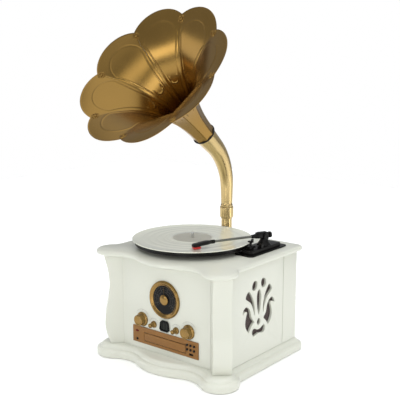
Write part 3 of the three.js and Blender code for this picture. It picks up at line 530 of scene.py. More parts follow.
def add(name, shape, look, body, replaces=(), matrix=None, bevel=0.0, smooth=35):
    piece = mesh_object(name, shape, matrix)
    dress(piece, look, body, replaces, bevel, smooth)
    return piece


# Camera, lights and floor

CAMERA_AT = Vector((1196.8, -1502.8, 761.5))
CAMERA_TARGET = Vector((-15.8, 0, 392.0))
camera_data = bpy.data.cameras.new("camera")
camera_data.sensor_width = 36
camera_data.lens = 70.66
camera_data.clip_end = 60
camera = bpy.data.objects.new("camera", camera_data)
bpy.context.scene.collection.objects.link(camera)
camera.location = TO_ROW @ CAMERA_AT
camera.rotation_euler = (CAMERA_TARGET - CAMERA_AT).to_track_quat("-Z", "Y").to_euler()
bpy.context.scene.camera = camera

bpy.context.scene.view_settings.view_transform = "Standard"

ROOM_BRIGHTNESS = 0.44
CEILING_BRIGHTNESS = 2.9
CEILING_IN_REFLECTIONS = 0.3
SOFTBOXES = (  # name, azimuth right of the front, elevation, distance, size, brightness
    ("left_softbox", -12, 5, 2.6, (1.0, 0.6), 3.3),
    ("right_softbox", 64, 14, 2.6, (0.9, 1.2), 2.7),
    ("high_front_softbox", 28, 34, 2.6, (1.3, 0.7), 1.6),
    ("far_left_softbox", -66, 6, 2.6, (0.9, 1.1), 1.2),
    ("front_strip", 22, -8, 1.5, (0.26, 0.8), 3.2),
    ("side_strip", 116, -8, 1.4, (0.3, 0.8), 3.0),
)


def softbox(name, at, aim, size, radiance):
    """A rectangular light that looks this bright, whatever its size."""
    data = bpy.data.lights.new(name, "AREA")
    data.shape = "RECTANGLE"
    data.size, data.size_y = size
    data.energy = radiance * math.pi * size[0] * size[1]
    light = bpy.data.objects.new(name, data)
    bpy.context.scene.collection.objects.link(light)
    light.location = at
    light.rotation_euler = (Vector(aim) - Vector(at)).to_track_quat("-Z", "Y").to_euler()
    light.visible_camera = False


LIGHTS_AIM = Vector((0, 0, 0.55))
for name, azimuth, elevation, distance, size, radiance in SOFTBOXES:
    turn, rise = math.radians(azimuth), math.radians(elevation)
    direction = Vector((math.sin(turn) * math.cos(rise), -math.cos(turn) * math.cos(rise), math.sin(rise)))
    softbox(name, LIGHTS_AIM + distance * direction, LIGHTS_AIM, size, radiance)


def studio_world():
    """White behind the object; in the reflections a mid-grey room with a bright ceiling."""
    world = bpy.data.worlds.new("studio")
    bpy.context.scene.world = world
    world.use_nodes = True
    world.node_tree.nodes.clear()
    tree = Nodes(world.node_tree)
    room = tree.node("ShaderNodeBackground")
    room.inputs["Color"].default_value = (0.96, 0.98, 1.0, 1)
    wall = tree.node("ShaderNodeBackground")
    wall.inputs["Color"].default_value = (1, 1, 1, 1)
    parts = tree.node("ShaderNodeSeparateXYZ")
    tree.link(tree.node("ShaderNodeTexCoord").outputs["Generated"], parts.inputs["Vector"])
    path = tree.node("ShaderNodeLightPath")
    height = parts.outputs["Z"]
    walls = tree.spread(height, 0.3 * ROOM_BRIGHTNESS, ROOM_BRIGHTNESS, -0.25, -0.05, "SMOOTHSTEP")
    ceiling = tree.spread(height, 0, CEILING_BRIGHTNESS, 0.7, 0.95, "SMOOTHSTEP")
    share = tree.spread(path.outputs["Is Diffuse Ray"], CEILING_IN_REFLECTIONS, 1, 0, 1)
    tree.link(tree.compute("MULTIPLY_ADD", ceiling, share, walls), room.inputs["Strength"])
    mix = tree.node("ShaderNodeMixShader")
    output = tree.node("ShaderNodeOutputWorld")
    tree.link(path.outputs["Is Camera Ray"], mix.inputs["Fac"])
    tree.link(room.outputs["Background"], mix.inputs[1])
    tree.link(wall.outputs["Background"], mix.inputs[2])
    tree.link(mix.outputs["Shader"], output.inputs["Surface"])


studio_world()

FLOOR_HALF = 2.6
floor_look = Look("pale_floor", (0.93, 0.93, 0.92), 0.85)
floor_look.colored(floor_look.noise(3, 2), (0.925, 0.925, 0.915), (0.935, 0.935, 0.925))
floor_look.shader.inputs["Emission Color"].default_value = (1, 1, 1, 1)
floor_look.shader.inputs["Emission Strength"].default_value = 0.08
floor_mesh = bpy.data.meshes.new("floor")
corners = [(x * FLOOR_HALF, y * FLOOR_HALF, 0) for x, y in ((-1, -1), (1, -1), (1, 1), (-1, 1))]
floor_mesh.from_pydata(corners, [], [(0, 1, 2, 3)])
floor_mesh.materials.append(floor_look.material)
floor = bpy.data.objects.new("floor", floor_mesh)
bpy.context.scene.collection.objects.link(floor)

# Base and deck mouldings


def plan_outline(inset):
    """Bowed front, coves and round ears, all tangent arcs, inset by a distance."""
    across, rise = EAR[0] - COVE[0], EAR[1] - COVE[1]
    cove_radius = (across**2 + rise**2 - EAR_RADIUS**2) / (2 * (EAR_RADIUS - rise))
    cove_y = COVE[1] - cove_radius
    drop = BOW_FRONT - cove_y
    bow_radius = (COVE[0] ** 2 + drop**2 - cove_radius**2) / (2 * (cove_radius - drop))
    bow_y = BOW_FRONT + bow_radius
    bow_end = math.atan2(cove_y - bow_y, COVE[0])
    cove_end = math.atan2(EAR[1] - cove_y, across)
    fillet_x = SIDE + FILLET
    fillet_rise = math.sqrt((EAR_RADIUS + FILLET) ** 2 - (fillet_x - EAR[0]) ** 2)
    ear_end = math.atan2(fillet_rise, fillet_x - EAR[0])
    right = (
        arc((0, bow_y), bow_radius - inset, -math.pi / 2, bow_end, 15)
        + arc((COVE[0], cove_y), cove_radius + inset, bow_end + math.pi, cove_end, 15)[1:]
        + arc(EAR, EAR_RADIUS - inset, cove_end - math.pi, ear_end, 36)[1:]
        + arc((fillet_x, EAR[1] + fillet_rise), FILLET + inset, ear_end + math.pi, math.pi, 12)[1:]
        + arc((SIDE - CORNER, BACK - CORNER), CORNER - inset, 0, math.pi / 2, 12)
    )
    return right + [(-x, y) for x, y in right[:0:-1]]


def moulded_board(steps):
    return lofted([[(x, y, z) for x, y in plan_outline(inset)] for z, inset in smoothed(steps, 3)])


base_steps = [(1.2, 2), (3.5, 0), (9, -0.4), (15, 0), (19, 2), (21.5, 6), (22.5, 9), (27, 12), (BASE_TOP, 18)]
add("base_moulding", moulded_board([(z, inset - PLINTH) for z, inset in base_steps]), LACQUER,
    "cabinet", ["base_board"], smooth=50)

deck_steps = [(DECK_BOTTOM, 9), (263, 7), (264.3, 2.5), (266, 0.6), (269.5, 0), (273, 1.2), (DECK_TOP, 5)]
through_deck = (250, 290)
deck = mesh_object("deck_top", moulded_board(deck_steps))
carved(
    deck,
    moved(rod(6, *through_deck, 32), place(*TURNTABLE)),
    moved(rod(15, *through_deck, 48), place(*HORN)),
    moved(rod(8, *through_deck, 32), place(-100, 70)),
)
dress(deck, LACQUER, "cabinet", ["deck_board"], smooth=50)

# Corner columns


def column_hollow(z):
    if z >= COLUMN_WAIST_Z:
        return COLUMN_WAIST * math.cos(math.pi / 2 * (z - COLUMN_WAIST_Z) / (WALL_TOP - COLUMN_WAIST_Z))
    if z >= COLUMN_BELLY_Z:
        along = (z - COLUMN_BELLY_Z) / (COLUMN_WAIST_Z - COLUMN_BELLY_Z)
        return COLUMN_WAIST * (1 - math.cos(math.pi * along)) / 2
    down = (COLUMN_BELLY_Z - z) / (COLUMN_BELLY_Z - WALL_BOTTOM)
    return COLUMN_FOOT * (1 - math.cos(math.pi / 2 * down))


def column():
    heights = [WALL_BOTTOM + (WALL_TOP - WALL_BOTTOM) * i / 60 for i in range(61)]
    half = COLUMN_WIDTH / 2
    edge = 1.2
    rings = []
    for z in heights:
        x = -column_hollow(z)
        face = arc((x - edge, -half + edge), edge, -math.pi / 2, 0, 4)
        face += arc((x - edge, half - edge), edge, 0, math.pi / 2, 4)
        rings.append([(-COLUMN_DEPTH, half, z), (-COLUMN_DEPTH, -half, z)] + [(px, py, z) for px, py in face])
    return lofted(rings)


for name, side, turn in (("left", -1, -135), ("right", 1, -45)):
    at = place(side * COLUMN[0], COLUMN[1]) @ Matrix.Rotation(math.radians(turn), 4, "Z")
    add(f"column_{name}", column(), LACQUER, "cabinet", [f"front_column_{name}"], at)

# Side walls with their pierced palmettes, and the cloth behind


def bezier_outline(start, curves, steps=10):
    points, here = [], start
    for ax, ay, bx, by, x, y in curves:
        for i in range(steps):
            t = i / steps
            weights = ((1 - t) ** 3, 3 * (1 - t) ** 2 * t, 3 * (1 - t) * t * t, t**3)
            points.append((
                sum(w * p for w, p in zip(weights, (here[0], ax, bx, x))),
                sum(w * p for w, p in zip(weights, (here[1], ay, by, y))),
            ))
        here = (x, y)
    return points


TEARDROP = ((0, 136), [
    (5, 142, 9, 165, 9, 180), (9, 192, 5, 199, 0, 199), (-5, 199, -9, 192, -9, 180),
    (-9, 165, -5, 142, 0, 136),
])
SEED = ((0, 110.5), [(9, 112, 10, 125, 0, 127.5), (-10, 125, -9, 112, 0, 110.5)])
SEPAL = ((0, 100), [
    (9, 99, 15, 107, 22, 105.5), (29, 103, 29, 94, 24, 89.5), (18, 84, 10, 90, 0, 90.5),
    (-10, 90, -18, 84, -24, 89.5), (-29, 94, -29, 103, -22, 105.5), (-15, 107, -9, 99, 0, 100),
])
BUD = ((17, 201), [(27, 201, 31, 208, 28, 216), (25, 223, 17, 227, 11, 222), (5, 217, 7, 204, 17, 201)])
LEAF = ((18, 137.5), [
    (24, 150, 24, 168, 40, 178), (47, 183, 54, 186, 55, 190), (54, 196, 48, 202, 42, 204),
    (32, 198, 11, 165, 18, 137.5),
])
SCROLL = ((53, 168), [
    (61, 167, 67, 160, 66, 151), (61, 157, 53, 159, 49, 155), (49, 150, 56, 140, 56, 127),
    (56, 116, 48, 107, 40, 101), (35, 108, 29, 118, 20, 122), (20, 128, 28, 130, 31, 138),
    (33, 147, 35, 164, 53, 168),
])


def palmette():
    middle = [bezier_outline(*shape) for shape in (TEARDROP, SEED, SEPAL)]
    right = [bezier_outline(*shape) for shape in (BUD, LEAF, SCROLL)]
    left = [[(-x, y) for x, y in outline] for outline in right]
    return [[(x + FRET_Y, y) for x, y in outline] for outline in middle + right + left]


def side_wall(side):
    """Drawn as (y, z) and stood upright; the front end is mitred to the column's side plane."""
    end = COLUMN[0] + COLUMN[1] + (COLUMN_WIDTH / 2 + GAP) * math.sqrt(2) - HALF_WIDTH
    half_groove = 0.75
    outline = rounded_rectangle(end, WALL_BOTTOM, GROOVE_Y - half_groove, WALL_TOP, 0.6, 2)
    recess = rounded_rectangle(
        FRET_Y - CLOTH_SIZE[0] / 2 - 1, FRET_Z - CLOTH_SIZE[1] / 2 - 1,
        FRET_Y + CLOTH_SIZE[0] / 2 + 1, FRET_Z + CLOTH_SIZE[1] / 2 + 1, 1, 2,
    )
    face = moved(plate([outline, *palmette()], FRET_BOARD, 0.9), place(z=PANEL - FRET_BOARD))
    frame_behind = plate([outline, recess], PANEL - FRET_BOARD + 1.2, 0.3)
    pilaster = plate([
        rounded_rectangle(GROOVE_Y + half_groove, WALL_BOTTOM, HALF_DEPTH, WALL_TOP, 0.6, 2),
    ], PANEL, 0.9)
    backing = brick((GROOVE_Y - 4, WALL_BOTTOM + 1, 2), (GROOVE_Y + 4, WALL_TOP - 1, PANEL - 2.5))
    points, faces = merged(face, frame_behind, pilaster, backing)
    for p in points:
        p.x = max(p.x, end + (PANEL - p.z))
    return moved((points, faces), upright(side * (HALF_WIDTH - PANEL), side=side))


for name, side in (("left", -1), ("right", 1)):
    add(f"side_wall_{name}", side_wall(side), LACQUER, "cabinet", [f"side_panel_{name}"])


def stretched_cloth(side):
    """A thin sheet that swells very slightly between its glued edges."""
    columns, rows, thick, swell = 34, 37, 0.48, 0.1
    wall = side * (HALF_WIDTH - FRET_BOARD - GAP - 0.1)
    grids = []
    for depth in (0, thick):
        grid = []
        for i in range(rows + 1):
            for j in range(columns + 1):
                u, v = 2 * j / columns - 1, 2 * i / rows - 1
                x = wall - side * (depth + swell * (1 - u**4) * (1 - v**4))
                grid.append((x, FRET_Y + u * CLOTH_SIZE[0] / 2, FRET_Z + v * CLOTH_SIZE[1] / 2))
        grids.append(grid)
    return skinned(*grids, rows + 1, columns + 1)


def skinned(front_grid, back_grid, rows, columns):
    """A closed thin solid between two grids of points."""
    count = rows * columns
    faces = []
    for i in range(rows - 1):
        for j in range(columns - 1):
            a, b = i * columns + j, (i + 1) * columns + j
            faces.append((a, a + 1, b + 1, b))
            faces.append((count + b, count + b + 1, count + a + 1, count + a))
    border = list(range(columns))
    border += [i * columns + columns - 1 for i in range(1, rows)]
    border += [(rows - 1) * columns + j for j in range(columns - 2, -1, -1)]
    border += [i * columns for i in range(rows - 2, 0, -1)]
    for a, b in zip(border, border[1:] + border[:1]):
        faces.append((b, a, count + a, count + b))
    return [Vector(p) for p in front_grid] + [Vector(p) for p in back_grid], faces


for name, side in (("left", -1), ("right", 1)):
    sheet = add(f"grille_sheet_{name}", stretched_cloth(side), CLOTH, "cabinet",
                [f"grille_cloth_{name}"], smooth=60)

# Radio dial

ring_profile = smoothed([
    (46.8, GAP), (46.8, 2.2), (45.9, 4.6), (44.2, 6.2), (42.2, 6.4), (40.4, 5.3), (38.6, 4.2), (36.8, 3.0),
    (35.6, 2.5),
], 5) + [(35.6, GAP)]
add("dial_ring", lathe(ring_profile, 128, ring=True), GOLD, "cabinet", ["dial_bezel"],
    front(0, DIAL_Z), smooth=40)

disc_profile = [(2.6, GAP), (35.2, GAP), (35.2, 2.1), (35.0, 2.3), (2.6, 2.3)]
add("dial_disc", lathe(disc_profile, 96, ring=True), DIAL_BLACK, "cabinet", ["dial_face"],
    front(0, DIAL_Z))


def ring_band(inner, outer, start, end, low, high, steps=48):
    """A flat band of a circle, as a thin solid."""
    rings = []
    for i in range(steps + 1):
        angle = start + (end - start) * i / steps
        section = ((inner, low), (outer, low), (outer, high), (inner, high))
        rings.append([(r * math.cos(angle), r * math.sin(angle), z) for r, z in section])
    return lofted(rings)


def dial_marks():
    """Three tuning scales: arcs with ticks, longer at every fifth."""
    low, high = 2.25, 2.42
    marks = []
    for radius, count in ((31.5, 40), (25.5, 30), (19.5, 20)):
        start, end = math.radians(-40), math.radians(220)
        marks.append(ring_band(radius - 0.14, radius + 0.14, start, end, low, high))
        for k in range(count + 1):
            angle = start + (end - start) * k / count
            length = 2.4 if k % 5 == 0 else 1.3
            tick = brick((radius, -0.14, low), (radius + length, 0.14, high))
            marks.append(moved(tick, Matrix.Rotation(angle, 4, "Z")))
    return merged(*marks)


add("dial_marks", dial_marks(), DIAL_PRINT, "cabinet", matrix=front(0, DIAL_Z))


def numeral(text, size, depth):
    """A number as a thin solid, centred on its own middle."""
    data = bpy.data.curves.new("number", "FONT")
    data.body = text
    data.size = size
    data.extrude = depth / 2
    data.align_x = "CENTER"
    data.align_y = "CENTER"
    return solid_of(data)


def dial_numbers():
    shapes = []
    for radius, texts in (
        (29, ("88", "92", "96", "100", "104", "108")),
        (23, ("53", "60", "80", "110", "140", "160")),
    ):
        for k, text in enumerate(texts):
            angle = math.radians(205 - 230 * k / (len(texts) - 1))
            at = place(radius * math.cos(angle), radius * math.sin(angle), 2.34)
            shapes.append(moved(numeral(text, 2.6, 0.16), at @ Matrix.Rotation(angle - math.pi / 2, 4, "Z")))
    return merged(*shapes)


add("dial_numbers", dial_numbers(), DIAL_PRINT, "cabinet", matrix=front(0, DIAL_Z))

hub = lathe([(0, -15), (2.2, -15), (2.2, 3.6)] + smoothed([
    (12.6, 3.6), (13, 4.4), (12.2, 5.6), (9.5, 6.9), (6, 7.8), (3, 8.15), (0, 8.2)], 4), 64)
hand = brick((-0.6, 8, 3.6), (0.6, 33, 4.3))
add("dial_hub", hub, GOLD, "dial_hand", ["dial_pointer"], front(0, DIAL_Z), smooth=40)
add("dial_hand_bar", hand, HAND_METAL, "dial_hand", matrix=front(0, DIAL_Z))

# Knobs, their scales, and the display


def knob(flange, body, length):
    profile = [(0, -16), (3, -16), (3, GAP)]
    profile += smoothed([
        (flange, GAP), (flange, 1.4), (flange * 0.965, 2.6), (flange * 0.90, 3.9), (body * 1.04, 5.0),
        (body * 0.985, 6.2), (body * 0.985, length - 2.4), (body * 0.95, length - 0.8), (body * 0.86, length),
        (body * 0.76, length - 0.1), (body * 0.66, length - 0.9), (body * 0.3, length - 1.5),
        (0, length - 1.6),
    ], 4)
    return lathe(profile, 64)


for name, side, (x, z), size in (
    ("volume", -1, LARGE_KNOB, LARGE_KNOB_SIZE),
    ("function", -1, SMALL_KNOB, SMALL_KNOB_SIZE),
    ("tone", 1, SMALL_KNOB, SMALL_KNOB_SIZE),
    ("tuning", 1, LARGE_KNOB, LARGE_KNOB_SIZE),
):
    at = front(side * x, z)
    add(f"{name}_knob_turned", knob(*size), GOLD, f"{name}_control", [f"{name}_knob"], at,
        smooth=40)
    reach = size[0] + 5
    dots = [moved(rod(0.55, 0, INK, 12), place(x, y)) for x, y in arc(
        (0, 0), reach, math.radians(30), math.radians(150), 6)]
    band = ring_band(reach + 1.6, reach + 2.2, math.radians(40), math.radians(140), 0, INK, 20)
    add(f"{name}_scale_print", merged(*dots, band), PRINT, "cabinet", matrix=at)


def cut_corner(bottom, top, height, corner):
    """A window outline with four cut corners, wider at the bottom than at the top."""
    low, high, h = bottom / 2, top / 2, height / 2
    return [
        (-low, -h + corner), (-low + corner, -h), (low - corner, -h), (low, -h + corner),
        (high, h - corner), (high - corner, h), (-high + corner, h), (-high, h - corner),
    ]


window_edge = cut_corner(30, 25, 27, 4.5)
window = merged(
    moved(plate([window_edge], 2.4, 0.5), place(z=GAP)),
    moved(plate([window_edge, cut_corner(24, 19.5, 21, 3)], 2.6, 0.4), place(z=GAP + 2.1)),
)
add("display_frame", window, GLOSS_BLACK, "cabinet", ["display_window"], front(0, DISPLAY_Z))
slat = plate([rounded_rectangle(-1.3, -8.6, 1.3, 8.6, 0.8, 4)], 1.0, 0.3)
slats = [moved(slat, place(x, 0, GAP + 2.3)) for x in (-7.5, -2.5, 2.5, 7.5)]
add("display_slats", merged(*slats), SLAT_BLACK, "cabinet", matrix=front(0, DISPLAY_Z))

# CD panel, drawer, buttons, lamp and jack


def box_outline(x, z, width, height, radius=0.4):
    return rounded_rectangle(x - width / 2, z - height / 2, x + width / 2, z + height / 2, radius, 3)


fascia = [box_outline(0, CD_Z, *PANEL_SIZE, 1.2), box_outline(0, DRAWER_Z, 135, 22, 0.8),
          box_outline(*LAMP, 9.6, 4.6, 0.5), box_outline(*USB, 12.4, 5, 0.4), circle(*JACK, 3.5, 24)]
fascia += [circle(x, z, 3.1, 24) for x in BUTTON_COLUMNS for z in BUTTON_ROWS]
add("cd_fascia", plate(fascia, 2, 0.35), COPPER, "cabinet", ["cd_panel"],
    front(0, 0, -HALF_DEPTH - GAP))

TRAY_FLOOR = DRAWER_Z - 7
WELL_Z = TRAY_FLOOR + 4.5
WELL_Y = PANEL_FACE + 72


def drawer():
    front_face = moved(plate([box_outline(0, DRAWER_Z, 132.4, 19.4, 0.9)], 3, 0.4),
                       front(0, 0, PANEL_FACE + 2.5))
    tray_outline = rounded_rectangle(-63, PANEL_FACE + 2, 63, PANEL_FACE + 141.5, 4, 6)
    grip = rounded_rectangle(-10, WELL_Y, 10, WELL_Y + 55, 3, 4)
    floor_part = moved(plate([tray_outline, grip], WELL_Z - TRAY_FLOOR, 0.3), place(z=TRAY_FLOOR))
    rim = moved(plate([tray_outline, circle(0, WELL_Y, 61, 96)], 3.6, 0.4), place(z=WELL_Z - 0.1))
    return front_face, merged(floor_part, rim)


drawer_front, tray = drawer()
add("drawer_front", drawer_front, COPPER, "drawer", ["cd_drawer"])
add("drawer_tray", tray, BLACK, "drawer")

button_profile = [(0, -14), (1.8, -14), (1.8, 1.5), (2.75, 1.5)] + smoothed([
    (2.8, 3.2), (2.7, 3.9), (2.3, 4.25), (1.4, 4.4), (0, 4.4)], 3)
for k, (x, z) in enumerate([(x, z) for z in BUTTON_ROWS for x in BUTTON_COLUMNS], 1):
    add(f"button_cap_{k}", lathe(button_profile, 32), BLACK, f"key_{k}", [f"button_{k}"],
        front(x, z))

add("lamp_lens", plate([box_outline(*LAMP, 8.9, 3.9, 0.5)], 2.5, 0.5), LAMP_RED, "cabinet",
    ["power_lamp"], front(0, 0, -HALF_DEPTH - GAP))
sleeve = [box_outline(*USB, 12.2, 4.8, 0.4), box_outline(*USB, 11, 3.7, 0.3)]
sleeve_back = moved(plate([box_outline(*USB, 11.6, 4.2, 0.3)], 1, 0.1), place(z=0.2))
tongue = brick((USB[0] - 4.4, USB[1] - 0.5, 1), (USB[0] + 4.4, USB[1] + 0.8, 10))
add("usb_socket", merged(plate(sleeve, 12.5, 0.15), sleeve_back, tongue), BLACK, "cabinet",
    matrix=front(0, 0, -HALF_DEPTH + 11))
jack_profile = [(1.75, -10), (2.3, -10), (2.3, GAP), (3.2, GAP), (3.2, 2.6), (2.9, 3), (2.1, 3), (1.75, 2.6)]
add("jack_bush", lathe(jack_profile, 40, ring=True), BLACK, "cabinet", ["headphone_jack"],
    front(*JACK))

# Back: sockets, screws

for name, x, look in (("left", 69, SOCKET_WHITE), ("right", 85, SOCKET_RED)):
    at = back(x, SOCKET_Z, HALF_DEPTH + 2.3)
    collar = [(2.2, -0.2), (5.2, -0.2), (5.2, 0.8), (4.6, 1.3), (4.1, 1.3), (4.1, 0.9), (2.2, 0.9)]
    add(f"socket_collar_{name}", lathe(collar, 40, ring=True), look, "cabinet", matrix=at)
    shell = [(1.4, 0.8), (3.9, 0.8), (3.9, 6.5), (3.6, 6.8), (1.4, 6.8)]
    add(f"socket_shell_{name}", lathe(shell, 40, ring=True), GOLD, "cabinet", matrix=at)

screw_head = smoothed([(3.6, 0.1), (3.4, 1), (2.2, 1.8), (0, 2.1)], 4)
screw_profile = [(0, -2), (1.5, -2), (1.5, 0.1)] + screw_head
for k, x in enumerate((-155, 0, 155), 1):
    for level, z in (("low", 45), ("high", 247)):
        at = back(x, z)
        screw = mesh_object(f"back_screw_{k}_{level}", lathe(screw_profile, 32), at)
        slit = brick((-2.2, -0.35, 1.1), (2.2, 0.35, 3))
        carved(screw, *(moved(slit, at @ Matrix.Rotation(turn, 4, "Z")) for turn in (0, math.pi / 2)))
        dress(screw, STEEL, "cabinet")

# Turntable

AXLE = place(*TURNTABLE)
platter_profile = [
    (3.9, 286), (14, 286), (14, 293.4), (141, 293.4), (141, 286.2), (141.4, 286), (144.4, 286), (145, 286.6),
    (145, 289), (144.5, 289.4), (144.5, 290), (145, 290.4), (145, 295.6), (144.2, PLATTER_TOP),
    (3.9, PLATTER_TOP),
]
add("platter_turned", lathe(platter_profile, 160, ring=True), BLACK, "turntable",
    ["platter"], AXLE)


def record_profile():
    """Raised lip, then bands of grooves with smooth rings between the tracks, then the run-out."""
    low, top = PLATTER_TOP + GAP, RECORD_TOP
    grooved, sunk = top - 0.3, top - 0.34
    profile = [(3.9, low), (150.4, low), (151, low + 0.6), (151, top - 0.5), (150.5, top), (149, top)]
    profile += [(147.6, grooved)]
    for inner in (126, 107, 88, 70, 62):
        profile += [(inner + 1.4, grooved), (inner + 1, sunk), (inner, sunk), (inner - 0.4, grooved)]
    return profile + [(51, grooved), (50.4, top - 0.15), (3.9, top - 0.15)]


add("record_disc", lathe(record_profile(), 192, ring=True), VINYL, "turntable",
    ["record"], AXLE)
label_low, label_top = RECORD_TOP - 0.16, RECORD_TOP - 0.02
label = [(3.95, label_low), (50, label_low), (50, label_top), (3.95, label_top)]
add("record_label", lathe(label, 96, ring=True), PAPER, "turntable", matrix=AXLE)
pin = [(0, 250), (5, 250), (5, 276), (9, 276), (9, 285.7), (3.55, 285.7), (3.55, 309)] + smoothed([
    (3.5, 310.6), (3.0, 312.4), (1.8, 313.7), (0, 314)], 4)
add("spindle_pin", lathe(pin, 40), STEEL, "turntable", ["spindle"], AXLE)

# Tonearm base


def arm_base():
    """Flange, upper step cut back round the platter, pedestal, arm rest and the lever's cheeks."""
    flange = plate([rounded_rectangle(104, -22, 160, 135, 12, 12)], 3.0, 0.8)
    upper_step = plate([rounded_rectangle(110, -13, 153, 116, 8, 10)], 10, 1.2)
    block = mesh_object("arm_block", moved(upper_step, place(z=278)))
    carved(block, moved(rod(149, 278.8, 290, 160), AXLE))
    inverse = TO_ROW.inverted()
    corners = [inverse @ v.co for v in block.data.vertices]
    block_shape = (corners, [tuple(p.vertices) for p in block.data.polygons])
    bpy.data.objects.remove(block)
    flare = smoothed([(18, ARM_STEP), (17.9, 289), (16.6, 291), (12.6, 296.5), (10, 301.4)], 4)
    pedestal = lathe([(0, ARM_STEP)] + flare + [(9.5, 303), (0, 303)], 48)
    parked = ARM[2] - 3
    stem = [(0, ARM_STEP), (4.6, ARM_STEP), (3.2, 289.5), (3, parked - 3), (0, parked - 3)]
    rest_foot = plate([rounded_rectangle(ARM[0] - 8, 0, ARM[0] + 6, 16, 2, 4)], 8.5, 0.8)
    rest = [
        moved(rest_foot, place(z=ARM_STEP)),
        moved(lathe(stem, 24), place(ARM[0] + 1, 8)),
        brick((ARM[0] - 5, 4, parked - 4), (ARM[0] + 7, 12, parked - 0.8)),
        brick((ARM[0] + 4.5, 4, parked - 3), (ARM[0] + 7, 12, ARM[2] + 2)),
    ]
    cheeks = [
        moved(plate([[(-4, 0), (4, 0)] + arc((0, CUE[2] - ARM_STEP), 4, 0, math.pi, 12)], 2, 0.4),
              upright(x, CUE[1], ARM_STEP))
        for x in (CUE[0] - 6, CUE[0] + 4)
    ]
    return merged(
        moved(flange, place(z=DECK_TOP + GAP)), block_shape, moved(pedestal, place(ARM[0], ARM[1])),
        *rest, *cheeks,
    )


add("arm_base", arm_base(), BLACK, "cabinet", ["tonearm_plate"], smooth=32)

lever = merged(
    moved(rod(1.2, -5.8, 5.8, 20), ACROSS),
    moved(lathe([(0, -3.4), (3, -3.4), (3.4, -3), (3.4, 3), (3, 3.4), (0, 3.4)], 32), ACROSS),
    brick((-1.8, -24, -1.2), (1.8, 0, 1.2)),
    moved(lathe([(0, -2.8), (2.4, -2.8), (2.8, -2.4), (2.8, 2.4), (2.4, 2.8), (0, 2.8)], 28),
          place(0, -24, 0) @ ACROSS),
)
add("cue_lever_moulded", lever, BLACK, "cueing_lever", ["cue_lever"], place(*CUE), bevel=0.3)

# Tonearm

yoke_floor = -7.2
foot_low = 303 + GAP - ARM[2]
foot_profile = [(0, foot_low), (9, foot_low), (9.4, foot_low + 0.4), (9.4, yoke_floor - 0.3)]
foot = lathe(foot_profile + [(0, yoke_floor)], 48)
ear_outline = [(-6, yoke_floor - 0.8), (6, yoke_floor - 0.8)] + arc((0, 0.5), 6.2, 0, math.pi, 16)
ears = [moved(plate([ear_outline, circle(0, 0, 1.9, 20)], 3, 0.5),
              upright(x)) for x in (-12, 9)]
bridge = brick((-12, -6, yoke_floor - 1), (12, 6, yoke_floor))
add("arm_yoke", merged(foot, *ears, bridge), BLACK, "tonearm_swivel", ["tonearm_yoke"],
    ARM_FRAME, smooth=32)

housing = merged(
    moved(plate([rounded_rectangle(-8, -22, 8, 9, 3.5, 6)], 13.6, 1.8), place(z=-5.6)),
    moved(plate([rounded_rectangle(-6, -19, 6, 6, 3, 6)], 2, 0.8), place(z=7)),
    moved(lathe([(0, 18), (6.4, 18), (6.2, 24), (5, 29), (4.6, 36), (3.4, 37.5), (0, 37.5)], 32), ALONG),
    moved(lathe([(0, -20.5), (3.6, -20.5), (4, -20.1), (4, -8), (0, -8)], 28), ALONG),
    moved(rod(1.6, -11.8, 11.8, 20), ACROSS),
)
add("arm_housing", housing, BLACK, "tonearm", ["tonearm_tube"], ARM_FRAME, smooth=32)
wand = lathe([(0, 36), (3, 36), (3, ARM_NECK - 0.3), (2.6, ARM_NECK), (0, ARM_NECK)], 28)
add("arm_wand", wand, GREY_METAL, "tonearm", matrix=ARM_FRAME @ ALONG)

weight_profile = [(4.3, -19.5)] + smoothed([(6.5, -19.5), (7.3, -19.2), (7.5, -18.6)], 3)
for k in range(3):
    groove = -18 + 1.5 * k
    weight_profile += [(7.5, groove), (7.15, groove + 0.3), (7.15, groove + 0.7), (7.5, groove + 1)]
weight_profile += [(7.5, -13.1), (6.9, -12.5), (4.3, -12.5)]
add("arm_counterweight", lathe(weight_profile, 48, ring=True), BLACK, "arm_weight",
    ["counterweight"], ARM_FRAME @ ALONG)


def headshell():
    """A shell tapering to a rounded nose, on a locking collar."""
    stations = [  # distance along the arm, half width, top, bottom
        (10, 5.2, 3.6, -3.4), (14, 6.4, 4.0, -4.0), (20, 8.2, 4.2, -4.8), (32, 8.5, 3.2, -5.6),
        (46, 8.5, 1.4, -6.6), (54, 8.2, 0.4, -7.0), (58, 6.8, -1.4, -7.0), (59.2, 4.6, -3.2, -6.4),
    ]
    rings = []
    for along, half, top, bottom in smoothed(stations, 3):
        section = []
        for i in range(24):
            angle = math.tau * i / 24
            across, up = (math.copysign(abs(f) ** 0.5, f) for f in (math.cos(angle), math.sin(angle)))
            section.append((half * across, -ARM_NECK - along, (top + bottom) / 2 + (top - bottom) / 2 * up))
        rings.append(section)
    return lofted(rings)


collar = [(0, GAP), (4.4, GAP), (4.8, 0.8), (4.8, 5), (4.3, 5.4), (4.3, 6), (4.8, 6.4), (4.8, 11), (0, 11)]
collar = moved(lathe(collar, 32), ALONG @ place(z=ARM_NECK))
finger_lift = plate([rounded_rectangle(-15, -ARM_NECK - 38, -7.5, -ARM_NECK - 32.5, 2, 5)], 1.4, 0.4)
lift = moved(finger_lift, place(z=-1.5))
add("arm_headshell", merged(headshell(), collar, lift), BLACK, "tonearm",
    ["headshell"], ARM_FRAME, smooth=45)

